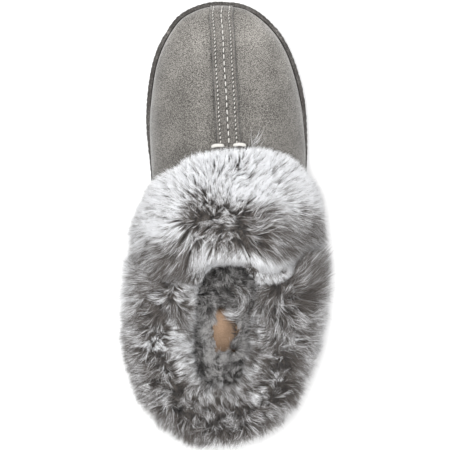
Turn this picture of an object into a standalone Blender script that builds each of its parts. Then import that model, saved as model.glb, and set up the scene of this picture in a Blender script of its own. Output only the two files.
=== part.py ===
"""Fur-cuffed house slipper for the right foot, built as separate pieces.

Frame: metres, +Z up, toe towards +Y, medial (big toe) side towards -X.
The ground plane is Z = 0 and the origin is the bottom centre of the whole slipper.
Lengths below are written in millimetres and scaled by MM where a mesh is made.
"""
import math

import bmesh
import bpy
import numpy as np

MM = 0.001
GAP = 0.3            # air left between two pieces that touch
PANEL_GAP = 0.4      # half the gap between two panels sewn edge to edge

# Outsole outline seen from above, walked from the toe tip round the lateral side.
SOLE_OUTLINE = [
    (-3.5, 135.0), (16.0, 131.0), (34.4, 113.5), (45.6, 85.0), (49.2, 52.0), (47.0, 12.0),
    (41.0, -35.0), (35.0, -75.0), (29.0, -101.0), (14.5, -117.0), (-4.5, -121.5),
    (-23.5, -117.0), (-37.5, -101.0), (-42.0, -75.0), (-42.5, -35.0), (-44.0, 5.0),
    (-46.3, 34.0), (-48.9, 66.0), (-44.7, 99.0), (-33.0, 122.4), (-19.5, 132.0),
]
OUTLINE_STEPS = 72

# Sole stack, as heights above the ground.
TREAD_DEPTH = 2.2
OUTSOLE_FLOOR = 6.0
RIM_TOP = 21.0
RIM_WALL = 2.6
MIDSOLE = (OUTSOLE_FLOOR + GAP, 14.0)
BOARD = (14.3, 15.8)
FOAM = (16.1, 21.1)
SOCK = (21.4, 24.4)
FOOTBED_PLAY = 1.2   # room between the footbed and the lining
SOLE_ROUNDING = 1.6  # edge roundings of the outsole, the footbed foam and its cover
FOAM_ROUNDING = 1.2
SOCK_ROUNDING = 1.0
HEEL_PATCH = (24.7, 25.9)
PATCH_MIDDLE = (-1.0, -64.0)
PATCH_HALF = (11.5, 17.0)
PATCH_SQUARENESS = 0.6   # 1 is an ellipse, 0 a rectangle
GROOVE_STATIONS = [*range(-100, -52, 12), *range(8, 118, 12)]   # the waist between them is plain
GROOVE_WIDTH = 3.0
GROOVE_MARGIN = 6.0      # plain tread left at each end of a groove

# Upper: leather, stiffener and lining are layers counted inwards from its outer surface.
UPPER_INSET = RIM_WALL + 0.5
UPPER_BOTTOM = 14.4
EQUATOR = 28.0       # height where the upper is widest
BULGE = 2.6          # how far the upper leans out over the rim behind the ball
BULGE_START = 95.0   # the lean grows from here back, over BULGE_LENGTH
BULGE_LENGTH = 75.0
LEATHER = 1.6
STIFFENER = 1.2
LINING = 3.0
STIFFENER_DEPTH = LEATHER + GAP
LINING_DEPTH = STIFFENER_DEPTH + STIFFENER + GAP
WALL = LINING_DEPTH + LINING
TURN_HEIGHT = 24.0   # rows of the upper's surface between its hem and its stiffener's top
WALL_HEIGHT = 36.0
STACK_BOTTOM = BOARD[1] + GAP
TOE_TIP = 135.0 - UPPER_INSET
PUFF_REAR = 84.0     # rear edge of the toe stiffener
COUNTER_TOP = 44.0
COUNTER_REACH = 60.0
NOSE_LENGTH = 45.0   # from the tip back to where the toe reaches its full height
TOE_CROWN = 20.0     # height above the equator at the end of the nose
INSTEP_CROWN = 40.0  # what the instep adds to that, far back
INSTEP_RISE = 110.0  # how gradually it does
WIDTH_POWER = 2.25
HEEL_CENTRE = -80.0  # the heel wall turns about this station

# Foot opening
THROAT = -12.0       # rear edge of the vamp on the centre line
SIDE_SEAM = -30.0    # where the vamp meets the quarters
LINING_SHORT = 2.0   # the rear lining stops this far short of that seam
TOPLINE = [(-30.0, 66.0), (-50.0, 59.0), (-75.0, 53.0), (-116.0, 50.0)]   # (station, height)

STRIP_HALF_WIDTH = 7.0
STRIP_REAR = 28.0
STRIP_THICKNESS = 1.3
STRIP_CLEARANCE = 0.5
STRIP_DRIFT = 0.8    # the strip wanders this far off the centre line towards the instep
DRIFT_START = 112.0  # the drift grows from here back, over DRIFT_LENGTH
DRIFT_LENGTH = 75.0
STRIP_TOE_MARGIN = 0.5
STRIP_END = 0.97     # share of the way to the toe where the strip stops
ROW_ENDS = (0.12, 0.95)
ROWS = {"stitch_row_medial": -4.9, "stitch_row_centre": 0.0, "stitch_row_lateral": 4.55}
THREAD_RADIUS = 0.45
THREAD_CLEARANCE = 0.5
TACKS = {"bar_tack_medial": -6.7, "bar_tack_lateral": 6.0}
TACK_LENGTH = 7.3
TACK_RADIUS = 0.9
TACK_STATION = 46.5
TACK_SAG = 0.5       # how much lower a tack's ends are than its middle

CUFF_CLEARANCE = 1.7
EDGE_CLEARANCE = 2.6
INSTEP_CLEARANCE = 3.8   # the instep cuff lies over the strip and its stitches
CUFF_INNER_LEG = 12.0
CUFF_LOW_EDGE = 31.0
SEAM_LAP = 1.4       # the rear cuff stops this far short of the side seams
LONGEST_LEG = 0.8    # and its inner leg covers at most this share of a section
# Depth of the instep cuff's pile on the inside, and what its two ends add.
FRONT_INNER_PILE, FRONT_INNER_ENDS = 8.0, -3.0
# Pile of the other cuff at the heel, outside and inside, and what each side adds.
HEEL_PILE, SIDE_PILE = 13.4, {-1: 10.2, 1: 12.0}
HEEL_INNER_PILE, SIDE_INNER_PILE = 9.0, -4.0
CUFF_LEAN = 17.0     # how far the side cuff's front ends slope forwards on their way down
LEAN_FROM = 0.55     # share of the way round from the heel where that slope starts
SIDE_PILE_FROM, SIDE_PILE_SPAN = 0.15, 0.5   # and where the pile changes to a side's
STRIP_LIFT_FROM, STRIP_LIFT_SPAN = 0.25, 0.625   # shares of a half of the instep cuff
# Pile at the inner leg's end, as a share of the inner pile, and how it stands at the two sides
# of the opening's edge: shares of the inner pile beyond the edge and outwards.
LEG_PILE = 0.55
EDGE_PILE = [(0.6, -0.8), (1.14, 0.36)]
EDGE_LEAN = 0.25     # how far the outer pile next to the edge leans over it
# Shares of the way down the outside of a cuff, with the pile's depth there.
PILE_DEPTHS = [(0.12, 0.92), (0.35, 1.0), (0.6, 1.0), (0.84, 0.9), (1.0, 0.55)]
# Sections of the instep cuff from the medial to the lateral end: where round the throat each
# one starts, from -1 to 1, the station and level of its front edge, and its pile's depth.
FRONT_SECTIONS = [
    (-1.0, -13.0, 0.04, 20.0), (-0.86, 2.0, 0.04, 14.8), (-0.7, 16.0, 0.08, 12.6),
    (-0.5, 28.5, 0.45, 13.6), (-0.25, 39.5, 0.78, 14.6), (0.0, 43.5, 1.0, 14.3),
    (0.25, 44.0, 0.78, 14.6), (0.5, 37.5, 0.45, 14.4), (0.7, 24.5, 0.08, 13.4),
    (0.86, 7.0, 0.04, 14.6), (1.0, -13.0, 0.04, 20.0),
]
REAR_SECTIONS = 23


# ---------------------------------------------------------------- outlines and surfaces

def closed_spline(points, steps):
    """Evenly spaced points on a smooth closed curve through the given ones."""
    knots = np.array(points, float)
    fine = []
    for i in range(len(knots)):
        a, b, c, d = (knots[(i + k) % len(knots)] for k in (-1, 0, 1, 2))
        for t in np.linspace(0, 1, 24, endpoint=False):
            fine.append(0.5 * (2 * b + (c - a) * t + (2 * a - 5 * b + 4 * c - d) * t * t
                               + (3 * b - a - 3 * c + d) * t ** 3))
    fine = np.array(fine)
    lengths = np.linalg.norm(np.roll(fine, -1, axis=0) - fine, axis=1)
    along = np.concatenate([[0], np.cumsum(lengths)])
    loop = np.vstack([fine, fine[:1]])
    at = np.linspace(0, along[-1], steps, endpoint=False)
    return np.column_stack([np.interp(at, along, loop[:, k]) for k in (0, 1)])


def outline(inset, steps=OUTLINE_STEPS):
    """The sole outline moved inwards by inset. It runs clockwise from the toe tip."""
    points = closed_spline(SOLE_OUTLINE, steps)
    tangent = np.roll(points, -1, axis=0) - np.roll(points, 1, axis=0)
    tangent /= np.linalg.norm(tangent, axis=1)[:, None]
    inward = np.column_stack([tangent[:, 1], -tangent[:, 0]])
    return points + inward * inset


UPPER_LINE = outline(UPPER_INSET, 720)
HEEL_INDEX = int(UPPER_LINE[:, 1].argmin())


def sides(station):
    """Where the upper's outline crosses a station: medial x and lateral x."""
    lateral = UPPER_LINE[:HEEL_INDEX + 1][::-1]
    medial = np.vstack([UPPER_LINE[HEEL_INDEX:], UPPER_LINE[:1]])
    return (np.interp(station, medial[:, 1], medial[:, 0]),
            np.interp(station, lateral[:, 1], lateral[:, 0]))


def smoothstep(value):
    value = min(max(value, 0.0), 1.0)
    return value * value * (3 - 2 * value)


def bulge(station):
    return BULGE * smoothstep((BULGE_START - station) / BULGE_LENGTH)


def crown(station):
    """Height of the upper's centre line above its equator."""
    behind = max(TOE_TIP - station, 0.0)
    nose = math.sqrt(max(0.0, 1 - (1 - min(behind / NOSE_LENGTH, 1.0)) ** 2))
    return (TOE_CROWN + INSTEP_CROWN * (1 - math.exp(-behind / INSTEP_RISE))) * nose


def profile(half, station, level):
    """Half width and height of the upper. Level -1 is its hem, 0 its equator, 1 its crown."""
    if level < 0:
        height = EQUATOR + level * (EQUATOR - UPPER_BOTTOM)
        rise = min(max((height - RIM_TOP - GAP) / (EQUATOR - RIM_TOP - GAP), 0.0), 1.0)
        return half + bulge(station) * math.sin(rise * math.pi / 2), height
    angle = level * math.pi / 2
    width = (half + bulge(station)) * max(math.cos(angle), 0.0) ** (2 / WIDTH_POWER)
    return width, EQUATOR + crown(station) * math.sin(angle)


def level_at(station, height):
    """The level at which the upper reaches a height above its equator."""
    return math.asin((height - EQUATOR) / crown(station)) / (math.pi / 2)


def vamp_point(station, side, level):
    medial, lateral = sides(station)
    middle = (medial + lateral) / 2
    width, height = profile((lateral - medial) / 2, station, level)
    return np.array([middle + side * max(width, PANEL_GAP), station, height])


WALL_LENGTHS = np.concatenate([[0], np.cumsum(np.linalg.norm(np.diff(UPPER_LINE, axis=0), axis=1))])


def wall_spot(reach):
    """Plan point on the upper's outline, reach mm round from the heel centre, lateral first."""
    at = WALL_LENGTHS[HEEL_INDEX] - reach
    total = WALL_LENGTHS[-1] + np.linalg.norm(UPPER_LINE[0] - UPPER_LINE[-1])
    loop = np.vstack([UPPER_LINE, UPPER_LINE[:1]])
    lengths = np.append(WALL_LENGTHS, total)
    return np.array([np.interp(at % total, lengths, loop[:, k]) for k in (0, 1)])


def wall_point(reach, level):
    """Point on the outside of the upper behind the ball, where the heel turns."""
    spot = wall_spot(reach)
    station = max(spot[1], HEEL_CENTRE)
    centre = np.array([sum(sides(station)) / 2, station])
    out = spot - centre
    half = np.linalg.norm(out)
    width, height = profile(half, station, level)
    return np.array([*(centre + out / half * width), height])


def reach_of(station, side):
    """How far round from the heel centre a station lies on one side."""
    tries = np.linspace(40.0, 260.0, 441)
    stations = np.array([wall_spot(side * t)[1] for t in tries])
    return side * float(np.interp(station, stations, tries))


def topline_height(station):
    stations, heights = zip(*reversed(TOPLINE))
    return float(np.interp(station, stations, heights))


def throat_station(level, corner):
    """Rear edge of the vamp: straight down the side, then forward over the instep."""
    rise = smoothstep((level - corner) / (1 - corner))
    return SIDE_SEAM + (THROAT - SIDE_SEAM) * rise


CORNER_LEVEL = level_at(SIDE_SEAM, topline_height(SIDE_SEAM))
SEAM_REACH = {side: reach_of(SIDE_SEAM, side) for side in (-1, 1)}


# ------------------------------------------------------------------------ mesh helpers

def clear_scene():
    for thing in list(bpy.data.objects):
        bpy.data.objects.remove(thing, do_unlink=True)


def collection(name):
    group = bpy.data.collections.new(name)
    bpy.context.scene.collection.children.link(group)
    return group


def material(name, colour, roughness):
    made = bpy.data.materials.new(name)
    made.use_nodes = True
    shader = made.node_tree.nodes["Principled BSDF"]
    shader.inputs["Base Color"].default_value = (*colour, 1.0)
    shader.inputs["Roughness"].default_value = roughness
    return made


def add_object(name, data, group, look=None):
    made = bpy.data.objects.new(name, data)
    group.objects.link(made)
    if look is not None:
        data.materials.append(look)
    return made


def shade(mesh):
    mesh.shade_smooth()
    mesh.set_sharp_from_angle(angle=math.radians(40))


def grid_mesh(name, grid, flip):
    """An open surface from a grid of points. Its faces point out of the slipper."""
    rows, columns = grid.shape[:2]
    bm = bmesh.new()
    verts = [[bm.verts.new(grid[i, j] * MM) for j in range(columns)] for i in range(rows)]
    for i in range(rows - 1):
        for j in range(columns - 1):
            corners = [verts[i][j], verts[i][j + 1], verts[i + 1][j + 1], verts[i + 1][j]]
            bm.faces.new(corners[::-1] if flip else corners)
    bmesh.ops.remove_doubles(bm, verts=bm.verts, dist=0.02 * MM)
    mesh = bpy.data.meshes.new(name)
    bm.to_mesh(mesh)
    bm.free()
    return mesh


def sink(mesh, depth):
    """Moves an open surface inwards along its vertex normals."""
    moves = [vertex.normal.copy() for vertex in mesh.vertices]
    for vertex, normal in zip(mesh.vertices, moves):
        vertex.co -= normal * depth * MM


def shell(name, grid, flip, depth, thickness, group, look):
    """A layer of the upper: an open surface sunk to its depth and thickened inwards."""
    mesh = grid_mesh(name, grid, flip)
    sink(mesh, depth)
    made = add_object(name, mesh, group, look)
    solid = made.modifiers.new("thickness", "SOLIDIFY")
    solid.thickness = thickness * MM
    solid.offset = -1
    solid.use_even_offset = True
    shade(mesh)
    return made


def flat_solid(name, points, heights, group, look, edge=0.0):
    """A flat outline between two heights, with its long edges rounded."""
    curve = bpy.data.curves.new(name, "CURVE")
    curve.dimensions = "2D"
    curve.fill_mode = "BOTH"
    curve.extrude = (heights[1] - heights[0]) / 2 * MM
    line = curve.splines.new("POLY")
    line.points.add(len(points) - 1)
    for point, (x, y) in zip(line.points, points):
        point.co = (x * MM, y * MM, 0, 1)
    line.use_cyclic_u = True
    drawn = add_object(name + "_outline", curve, group)
    bpy.context.view_layer.update()
    mesh = bpy.data.meshes.new_from_object(drawn.evaluated_get(bpy.context.evaluated_depsgraph_get()))
    bpy.data.objects.remove(drawn)
    bm = bmesh.new()
    bm.from_mesh(mesh)
    bmesh.ops.remove_doubles(bm, verts=bm.verts, dist=0.005 * MM)
    bmesh.ops.recalc_face_normals(bm, faces=bm.faces)
    bm.to_mesh(mesh)
    bm.free()
    mesh.name = name
    made = add_object(name, mesh, group, look)
    made.location.z = (heights[0] + heights[1]) / 2 * MM
    if edge:
        rounding = made.modifiers.new("rounded edge", "BEVEL")
        rounding.width = edge * MM
        rounding.segments = 1
        rounding.limit_method = "ANGLE"
        rounding.angle_limit = math.radians(50)
    return made


def cut(target, cutter):
    cutter.hide_render = True
    cutter.display_type = "WIRE"
    step = target.modifiers.new("cut " + cutter.name, "BOOLEAN")
    step.operation = "DIFFERENCE"
    step.object = cutter


def tube(name, points, radius, group, look):
    """A wire or thread through the given points."""
    curve = bpy.data.curves.new(name, "CURVE")
    curve.dimensions = "3D"
    curve.bevel_depth = radius * MM
    curve.bevel_resolution = 2
    curve.use_fill_caps = True
    line = curve.splines.new("POLY")
    line.points.add(len(points) - 1)
    for point, place in zip(line.points, points):
        point.co = (*(place * MM), 1)
    return add_object(name, curve, group, look)


def thick_sheet(name, inner, outer, group, look):
    """A closed body between two grids of points of the same size, such as a fur cuff."""
    rows, columns = inner.shape[:2]
    bm = bmesh.new()
    low, high = ([[bm.verts.new(p * MM) for p in row] for row in grid] for grid in (inner, outer))

    def quad(*corners):
        bm.faces.new(corners)

    for i in range(rows - 1):
        for j in range(columns - 1):
            quad(high[i][j], high[i][j + 1], high[i + 1][j + 1], high[i + 1][j])
            quad(low[i][j], low[i + 1][j], low[i + 1][j + 1], low[i][j + 1])
        for j in (0, columns - 1):
            quad(low[i][j], low[i + 1][j], high[i + 1][j], high[i][j])
    for i in (0, rows - 1):
        for j in range(columns - 1):
            quad(low[i][j], low[i][j + 1], high[i][j + 1], high[i][j])
    bmesh.ops.recalc_face_normals(bm, faces=bm.faces)
    mesh = bpy.data.meshes.new(name)
    bm.to_mesh(mesh)
    bm.free()
    mesh.shade_smooth()
    return add_object(name, mesh, group, look)


# -------------------------------------------------------------------------------- sole

def make_outsole(group, cutters, look):
    """Rubber cup sole: a rim that the upper sits in, and a grooved tread."""
    outsole = flat_solid("outsole", outline(0), (0, RIM_TOP), group, look, SOLE_ROUNDING)
    cup = flat_solid("cup_cavity", outline(RIM_WALL), (OUTSOLE_FLOOR, RIM_TOP + 5), cutters, None)
    cut(outsole, cup)
    bm = bmesh.new()
    for station in GROOVE_STATIONS:
        medial, lateral = sides(station)
        size = (lateral - medial - 2 * GROOVE_MARGIN, GROOVE_WIDTH, 2 * TREAD_DEPTH)
        made = bmesh.ops.create_cube(bm, size=1.0)["verts"]
        bmesh.ops.scale(bm, verts=made, vec=[side * MM for side in size])
        bmesh.ops.translate(bm, verts=made, vec=((medial + lateral) / 2 * MM, station * MM, 0))
    mesh = bpy.data.meshes.new("tread_grooves")
    bm.to_mesh(mesh)
    bm.free()
    cut(outsole, add_object("tread_grooves", mesh, cutters))
    return outsole


def make_sole_stack(group, looks):
    inside = outline(UPPER_INSET + WALL + FOOTBED_PLAY)
    flat_solid("midsole", outline(UPPER_INSET), MIDSOLE, group, looks["foam"])
    flat_solid("insole_board", outline(UPPER_INSET + STIFFENER_DEPTH + GAP), BOARD, group, looks["board"])
    flat_solid("footbed_foam", inside, FOAM, group, looks["foam"], FOAM_ROUNDING)
    flat_solid("footbed_cover", inside, SOCK, group, looks["pile"], SOCK_ROUNDING)
    angles = np.linspace(0, 2 * math.pi, 28, endpoint=False)
    round_way = np.column_stack([np.cos(angles), np.sin(angles)])
    rounded = np.sign(round_way) * np.abs(round_way) ** PATCH_SQUARENESS
    patch = np.array(PATCH_MIDDLE) + rounded * np.array(PATCH_HALF)
    flat_solid("heel_patch", patch, HEEL_PATCH, group, looks["tan suede"])


# ------------------------------------------------------------------------------- upper

def hem_levels(bottom):
    """Levels of the rows below the equator: the hem, the rim's top, and the turn above it."""
    heights = [bottom, RIM_TOP + GAP, TURN_HEIGHT]
    return [(height - EQUATOR) / (EQUATOR - UPPER_BOTTOM) for height in heights]


def vamp_grid(side, bottom, rear=None):
    """Points of the upper on one side, from the toe tip back to the stiffener's rear edge
    and, where rear(level) is given, on to that edge. Every layer uses the same stations."""
    levels = hem_levels(bottom) + list(np.linspace(0, 1, 7))
    first = TOE_TIP - 0.05
    grid = [[vamp_point(first + (PUFF_REAR - first) * (1 - math.cos(t)) ** 0.9, side, v)
             for v in levels] for t in np.linspace(0, math.pi / 2, 8)]
    if rear is not None:
        grid += [[vamp_point(PUFF_REAR + (rear(v) - PUFF_REAR) * t, side, v) for v in levels]
                 for t in np.linspace(0, 1, 7)[1:]]
    return np.array(grid)


def both_sides(bottom, rear=None):
    """A grid that crosses over the crown from the medial hem to the lateral hem."""
    medial = vamp_grid(-1, bottom, rear)
    lateral = vamp_grid(1, bottom, rear)[:, ::-1]
    medial[:, -1, 0] += PANEL_GAP
    return np.concatenate([medial, lateral[:, 1:]], axis=1)


def throat(level):
    return throat_station(level, CORNER_LEVEL)


def make_vamp(group, looks):
    for name, side in (("vamp_medial", -1), ("vamp_lateral", 1)):
        grid = vamp_grid(side, UPPER_BOTTOM, throat)
        shell(name, grid, side < 0, 0, LEATHER, group, looks["suede"])
    puff = both_sides(STACK_BOTTOM + GAP)
    shell("toe_puff", puff, True, STIFFENER_DEPTH, STIFFENER, group, looks["board"])
    lining = both_sides(STACK_BOTTOM + GAP, throat)
    shell("vamp_lining", lining, True, LINING_DEPTH, LINING, group, looks["pile"])


def wall_grid(reaches, bottom, top=None):
    """Points of the rear wall along the given reaches. Its rows have the same heights in
    every layer, up to the stiffener's top and, where top(station) is given, that edge."""
    grid = []
    for reach in reaches:
        spot = wall_spot(reach)
        station = max(spot[1], HEEL_CENTRE)
        heights = [WALL_HEIGHT, COUNTER_TOP] + ([top(spot[1])] if top else [])
        levels = hem_levels(bottom) + [0.0] + [level_at(station, height) for height in heights]
        grid.append([wall_point(reach, level) for level in levels])
    return np.array(grid)


def make_quarters(group, looks):
    """Rear wall: two suede quarters, a stiffener between the layers, and one lining."""
    steps = np.concatenate([np.linspace(0, COUNTER_REACH, 8), [72.0, 84.0]])
    for name, side in (("quarter_medial", -1), ("quarter_lateral", 1)):
        reaches = side * np.append(np.maximum(steps, PANEL_GAP), abs(SEAM_REACH[side]) - 2 * PANEL_GAP)
        grid = wall_grid(reaches, UPPER_BOTTOM, topline_height)
        shell(name, grid, side > 0, 0, LEATHER, group, looks["suede"])
    counter = wall_grid(np.concatenate([-steps[7:0:-1], steps[:8]]), STACK_BOTTOM + GAP)
    shell("heel_counter", counter, True, STIFFENER_DEPTH, STIFFENER, group, looks["board"])
    ends = [[SEAM_REACH[-1] + LINING_SHORT], [SEAM_REACH[1] - LINING_SHORT]]
    reaches = np.concatenate([ends[0], -steps[:0:-1], steps, ends[1]])
    lining = wall_grid(reaches, STACK_BOTTOM + GAP, topline_height)
    shell("quarter_lining", lining, True, LINING_DEPTH, LINING, group, looks["pile"])


# ------------------------------------------------- strip over the centre seam, and threads

def strip_point(offset, fraction, lift):
    """Point above the vamp, offset sideways from the centre seam. Fraction 1 is the toe."""
    tries = np.linspace(STRIP_REAR, TOE_TIP - 0.02, 400)
    halves = [(s[1] - s[0]) / 2 for s in map(sides, tries)]
    nose = [-half for half in halves[200:]]
    end = float(np.interp(-abs(offset) - STRIP_TOE_MARGIN, nose, tries[200:]))
    station = STRIP_REAR + (end - STRIP_REAR) * math.sin(fraction * math.pi / 2)

    def surface(x, y):
        medial, lateral = sides(y)
        off_centre = x + STRIP_DRIFT * smoothstep((DRIFT_START - y) / DRIFT_LENGTH)
        share = min(abs(off_centre) / ((lateral - medial) / 2 + bulge(y)), 1.0)
        height = EQUATOR + crown(y) * math.sqrt(max(0.0, 1 - share ** WIDTH_POWER))
        return np.array([(medial + lateral) / 2 + off_centre, y, height])

    here = surface(offset, station)
    ahead = surface(offset, min(station + 0.4, end)) - surface(offset, station - 0.4)
    across = surface(offset + 0.5, station) - surface(offset - 0.5, station)
    normal = np.cross(across, ahead)
    return here + normal / np.linalg.norm(normal) * lift


def make_strip(group, looks):
    offsets = np.linspace(-STRIP_HALF_WIDTH, STRIP_HALF_WIDTH, 5)
    fractions = np.linspace(0, STRIP_END, 18)
    lift = STRIP_CLEARANCE + STRIP_THICKNESS
    grid = np.array([[strip_point(o, f, lift) for o in offsets] for f in fractions])
    shell("centre_strip", grid, False, 0, STRIP_THICKNESS, group, looks["strip"])
    above = lift + THREAD_CLEARANCE + THREAD_RADIUS
    for name, offset in ROWS.items():
        points = [strip_point(offset, f, above) for f in np.linspace(*ROW_ENDS, 20)]
        tube(name, points, THREAD_RADIUS, group, looks["thread"])


def make_tacks(group, looks):
    """Two thick thread bars across the strip's edges, just ahead of the cuff."""
    fraction = 2 / math.pi * math.asin((TACK_STATION - STRIP_REAR) / (TOE_TIP - STRIP_REAR))
    threads = STRIP_CLEARANCE + STRIP_THICKNESS + THREAD_CLEARANCE + 2 * THREAD_RADIUS
    lift = threads + GAP + TACK_RADIUS
    for name, middle in TACKS.items():
        points = [strip_point(middle + x * TACK_LENGTH / 2, fraction, lift - TACK_SAG * x * x)
                  for x in np.linspace(-1, 1, 7)]
        tube(name, points, TACK_RADIUS, group, looks["thread"])


# -------------------------------------------------------------------------------- cuffs

def make_cuffs(group, looks):
    """Two fur pieces round the opening: one over the instep, one round the sides and heel."""
    front = [front_section(*section) for section in FRONT_SECTIONS]
    rear = [rear_section(share) for share in np.linspace(-1, 1, REAR_SECTIONS)]
    for name, sections in (("cuff_front", front), ("cuff_side_heel", rear)):
        backings, faces = zip(*sections)
        thick_sheet(name, np.array(backings), np.array(faces), group, looks["fur"])


def wrapped_rows(path, normal, spread, inner_reach, lift):
    """Rows of a cuff section: its backing, which lies on the upper, and its outer face."""
    samples = np.array([path(t) for t in np.linspace(0, 1, 25)])
    length = np.linalg.norm(np.diff(samples, axis=0), axis=1).sum()
    inside = min(CUFF_INNER_LEG / length, LONGEST_LEG)
    edge, edge_normal = path(0.0), normal(0.0)
    beyond = edge - path(0.06)
    beyond /= np.linalg.norm(beyond)
    beyond -= edge_normal * float(beyond @ edge_normal)
    deep = WALL + 2 * CUFF_CLEARANCE
    backing = [path(inside) - normal(inside) * deep,
               edge + beyond * EDGE_CLEARANCE - edge_normal * deep,
               edge + beyond * EDGE_CLEARANCE + edge_normal * lift]
    face = [backing[0] - normal(inside) * inner_reach * LEG_PILE]
    for place, (over, outwards) in zip(backing[1:], EDGE_PILE):
        face.append(place + (beyond * over + edge_normal * outwards) * inner_reach)
    for t, share in PILE_DEPTHS:
        here = path(t) + normal(t) * lift
        backing.append(here)
        face.append(here + (normal(t) + beyond * EDGE_LEAN * (1 - t)) * spread * share)
    return backing, face


def surface_normal(point, a, b, step=0.02):
    """Outward normal of point(a, b) by finite differences, with its sign set by the slipper."""
    along = point(a + step * 20, b) - point(a - step * 20, b)
    up = point(a, min(b + step, 0.999)) - point(a, b - step)
    normal = np.cross(along, up)
    normal /= np.linalg.norm(normal)
    centre = np.array([0.0, point(a, b)[1], EQUATOR - 10])
    return normal if normal @ (point(a, b) - centre) > 0 else -normal


def front_section(turn, end_station, end_level, depth):
    """One section of the instep cuff, fanned out from the throat."""
    side = -1 if turn < 0 else 1
    start_level = 1 - (1 - CORNER_LEVEL) * abs(turn)
    start_station = throat_station(start_level, CORNER_LEVEL)

    def place(t):
        return (start_station + (end_station - start_station) * t,
                start_level + (end_level - start_level) * t)

    def on_vamp(station, level):
        return vamp_point(station, side, level)

    def path(t):
        return on_vamp(*place(t))

    def normal(t):
        station, level = place(t)
        if turn == 0.0:
            slope = path(min(t + 0.05, 1)) - path(max(t - 0.05, 0))
            up = np.cross(np.array([1.0, 0, 0]), slope)
            return up / np.linalg.norm(up)
        return surface_normal(on_vamp, station, level)

    over_strip = 1 - smoothstep((abs(turn) - STRIP_LIFT_FROM) / STRIP_LIFT_SPAN)
    lift = CUFF_CLEARANCE + (INSTEP_CLEARANCE - CUFF_CLEARANCE) * over_strip
    return wrapped_rows(path, normal, depth, FRONT_INNER_PILE + FRONT_INNER_ENDS * abs(turn), lift)


def rear_section(share):
    """One section of the side and heel cuff. Share runs from the medial to the lateral end."""
    side = -1 if share < 0 else 1
    end_reach = SEAM_REACH[side] - side * SEAM_LAP
    reach = abs(share) * end_reach
    lean = side * CUFF_LEAN * smoothstep((abs(share) - LEAN_FROM) / (1 - LEAN_FROM))
    top_station = wall_spot(reach)[1]
    start_level = level_at(max(top_station, HEEL_CENTRE), topline_height(top_station))
    end_level = level_at(max(top_station, HEEL_CENTRE), CUFF_LOW_EDGE)

    def place(t):
        return reach + lean * t, start_level + (end_level - start_level) * t

    def path(t):
        return wall_point(*place(t))

    def normal(t):
        where, level = place(t)
        return surface_normal(wall_point, where, level)

    beside = smoothstep((abs(share) - SIDE_PILE_FROM) / SIDE_PILE_SPAN)
    return wrapped_rows(path, normal, HEEL_PILE + SIDE_PILE[side] * beside,
                        HEEL_INNER_PILE + SIDE_INNER_PILE * beside, CUFF_CLEARANCE)


# --------------------------------------------------------------------------------- main

def main():
    clear_scene()
    parts = collection("house_slipper")
    cutters = collection("cutters")
    looks = {
        "rubber": material("charcoal rubber", (0.085, 0.08, 0.076), 0.75),
        "foam": material("white foam", (0.72, 0.70, 0.66), 0.9),
        "board": material("fibre board", (0.42, 0.33, 0.23), 0.85),
        "suede": material("grey suede", (0.29, 0.275, 0.255), 0.95),
        "strip": material("grey suede strip", (0.24, 0.225, 0.21), 0.95),
        "thread": material("cream thread", (0.82, 0.79, 0.72), 0.6),
        "pile": material("dark grey pile", (0.10, 0.095, 0.09), 0.95),
        "tan suede": material("tan suede", (0.42, 0.25, 0.14), 0.9),
        "fur": material("frosted grey fur", (0.42, 0.41, 0.40), 0.95),
    }
    make_outsole(parts, cutters, looks["rubber"])
    make_sole_stack(parts, looks)
    make_vamp(parts, looks)
    make_quarters(parts, looks)
    make_strip(parts, looks)
    make_tacks(parts, looks)
    make_cuffs(parts, looks)


main()
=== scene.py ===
"""Looks of the fluffy house slipper: suede upper, frosted faux-fur cuffs, plush inside, rubber cup sole.

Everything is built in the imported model's frame: +Y towards the toe, +Z up, lengths in
millimetres until a mesh is made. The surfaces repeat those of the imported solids.
"""
import math

import bpy
import numpy as np
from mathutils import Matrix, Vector


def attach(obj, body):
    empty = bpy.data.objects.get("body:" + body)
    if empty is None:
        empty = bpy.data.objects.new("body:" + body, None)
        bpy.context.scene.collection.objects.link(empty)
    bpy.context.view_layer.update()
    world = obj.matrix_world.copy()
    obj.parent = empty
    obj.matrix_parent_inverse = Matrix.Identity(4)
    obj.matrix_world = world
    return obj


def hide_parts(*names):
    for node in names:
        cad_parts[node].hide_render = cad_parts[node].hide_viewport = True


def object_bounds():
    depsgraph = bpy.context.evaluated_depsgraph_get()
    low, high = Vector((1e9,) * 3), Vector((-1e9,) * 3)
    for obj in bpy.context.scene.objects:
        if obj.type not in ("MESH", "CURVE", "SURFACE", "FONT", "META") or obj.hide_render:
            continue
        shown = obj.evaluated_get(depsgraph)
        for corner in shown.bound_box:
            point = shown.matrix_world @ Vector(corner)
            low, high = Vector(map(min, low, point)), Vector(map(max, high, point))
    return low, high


MM = 0.001
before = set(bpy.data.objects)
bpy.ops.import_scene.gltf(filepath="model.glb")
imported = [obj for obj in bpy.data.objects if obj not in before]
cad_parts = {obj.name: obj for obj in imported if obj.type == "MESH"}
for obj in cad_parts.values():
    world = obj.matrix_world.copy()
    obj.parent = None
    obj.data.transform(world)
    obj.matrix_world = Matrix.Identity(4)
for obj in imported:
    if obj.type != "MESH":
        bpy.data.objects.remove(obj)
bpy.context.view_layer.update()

# ---- the solids' own sizes
GAP = 0.3
PANEL_GAP = 0.4
VAMP_SEAM = 0.05     # half the gap between the vamp's halves, which are sewn edge to edge
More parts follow.
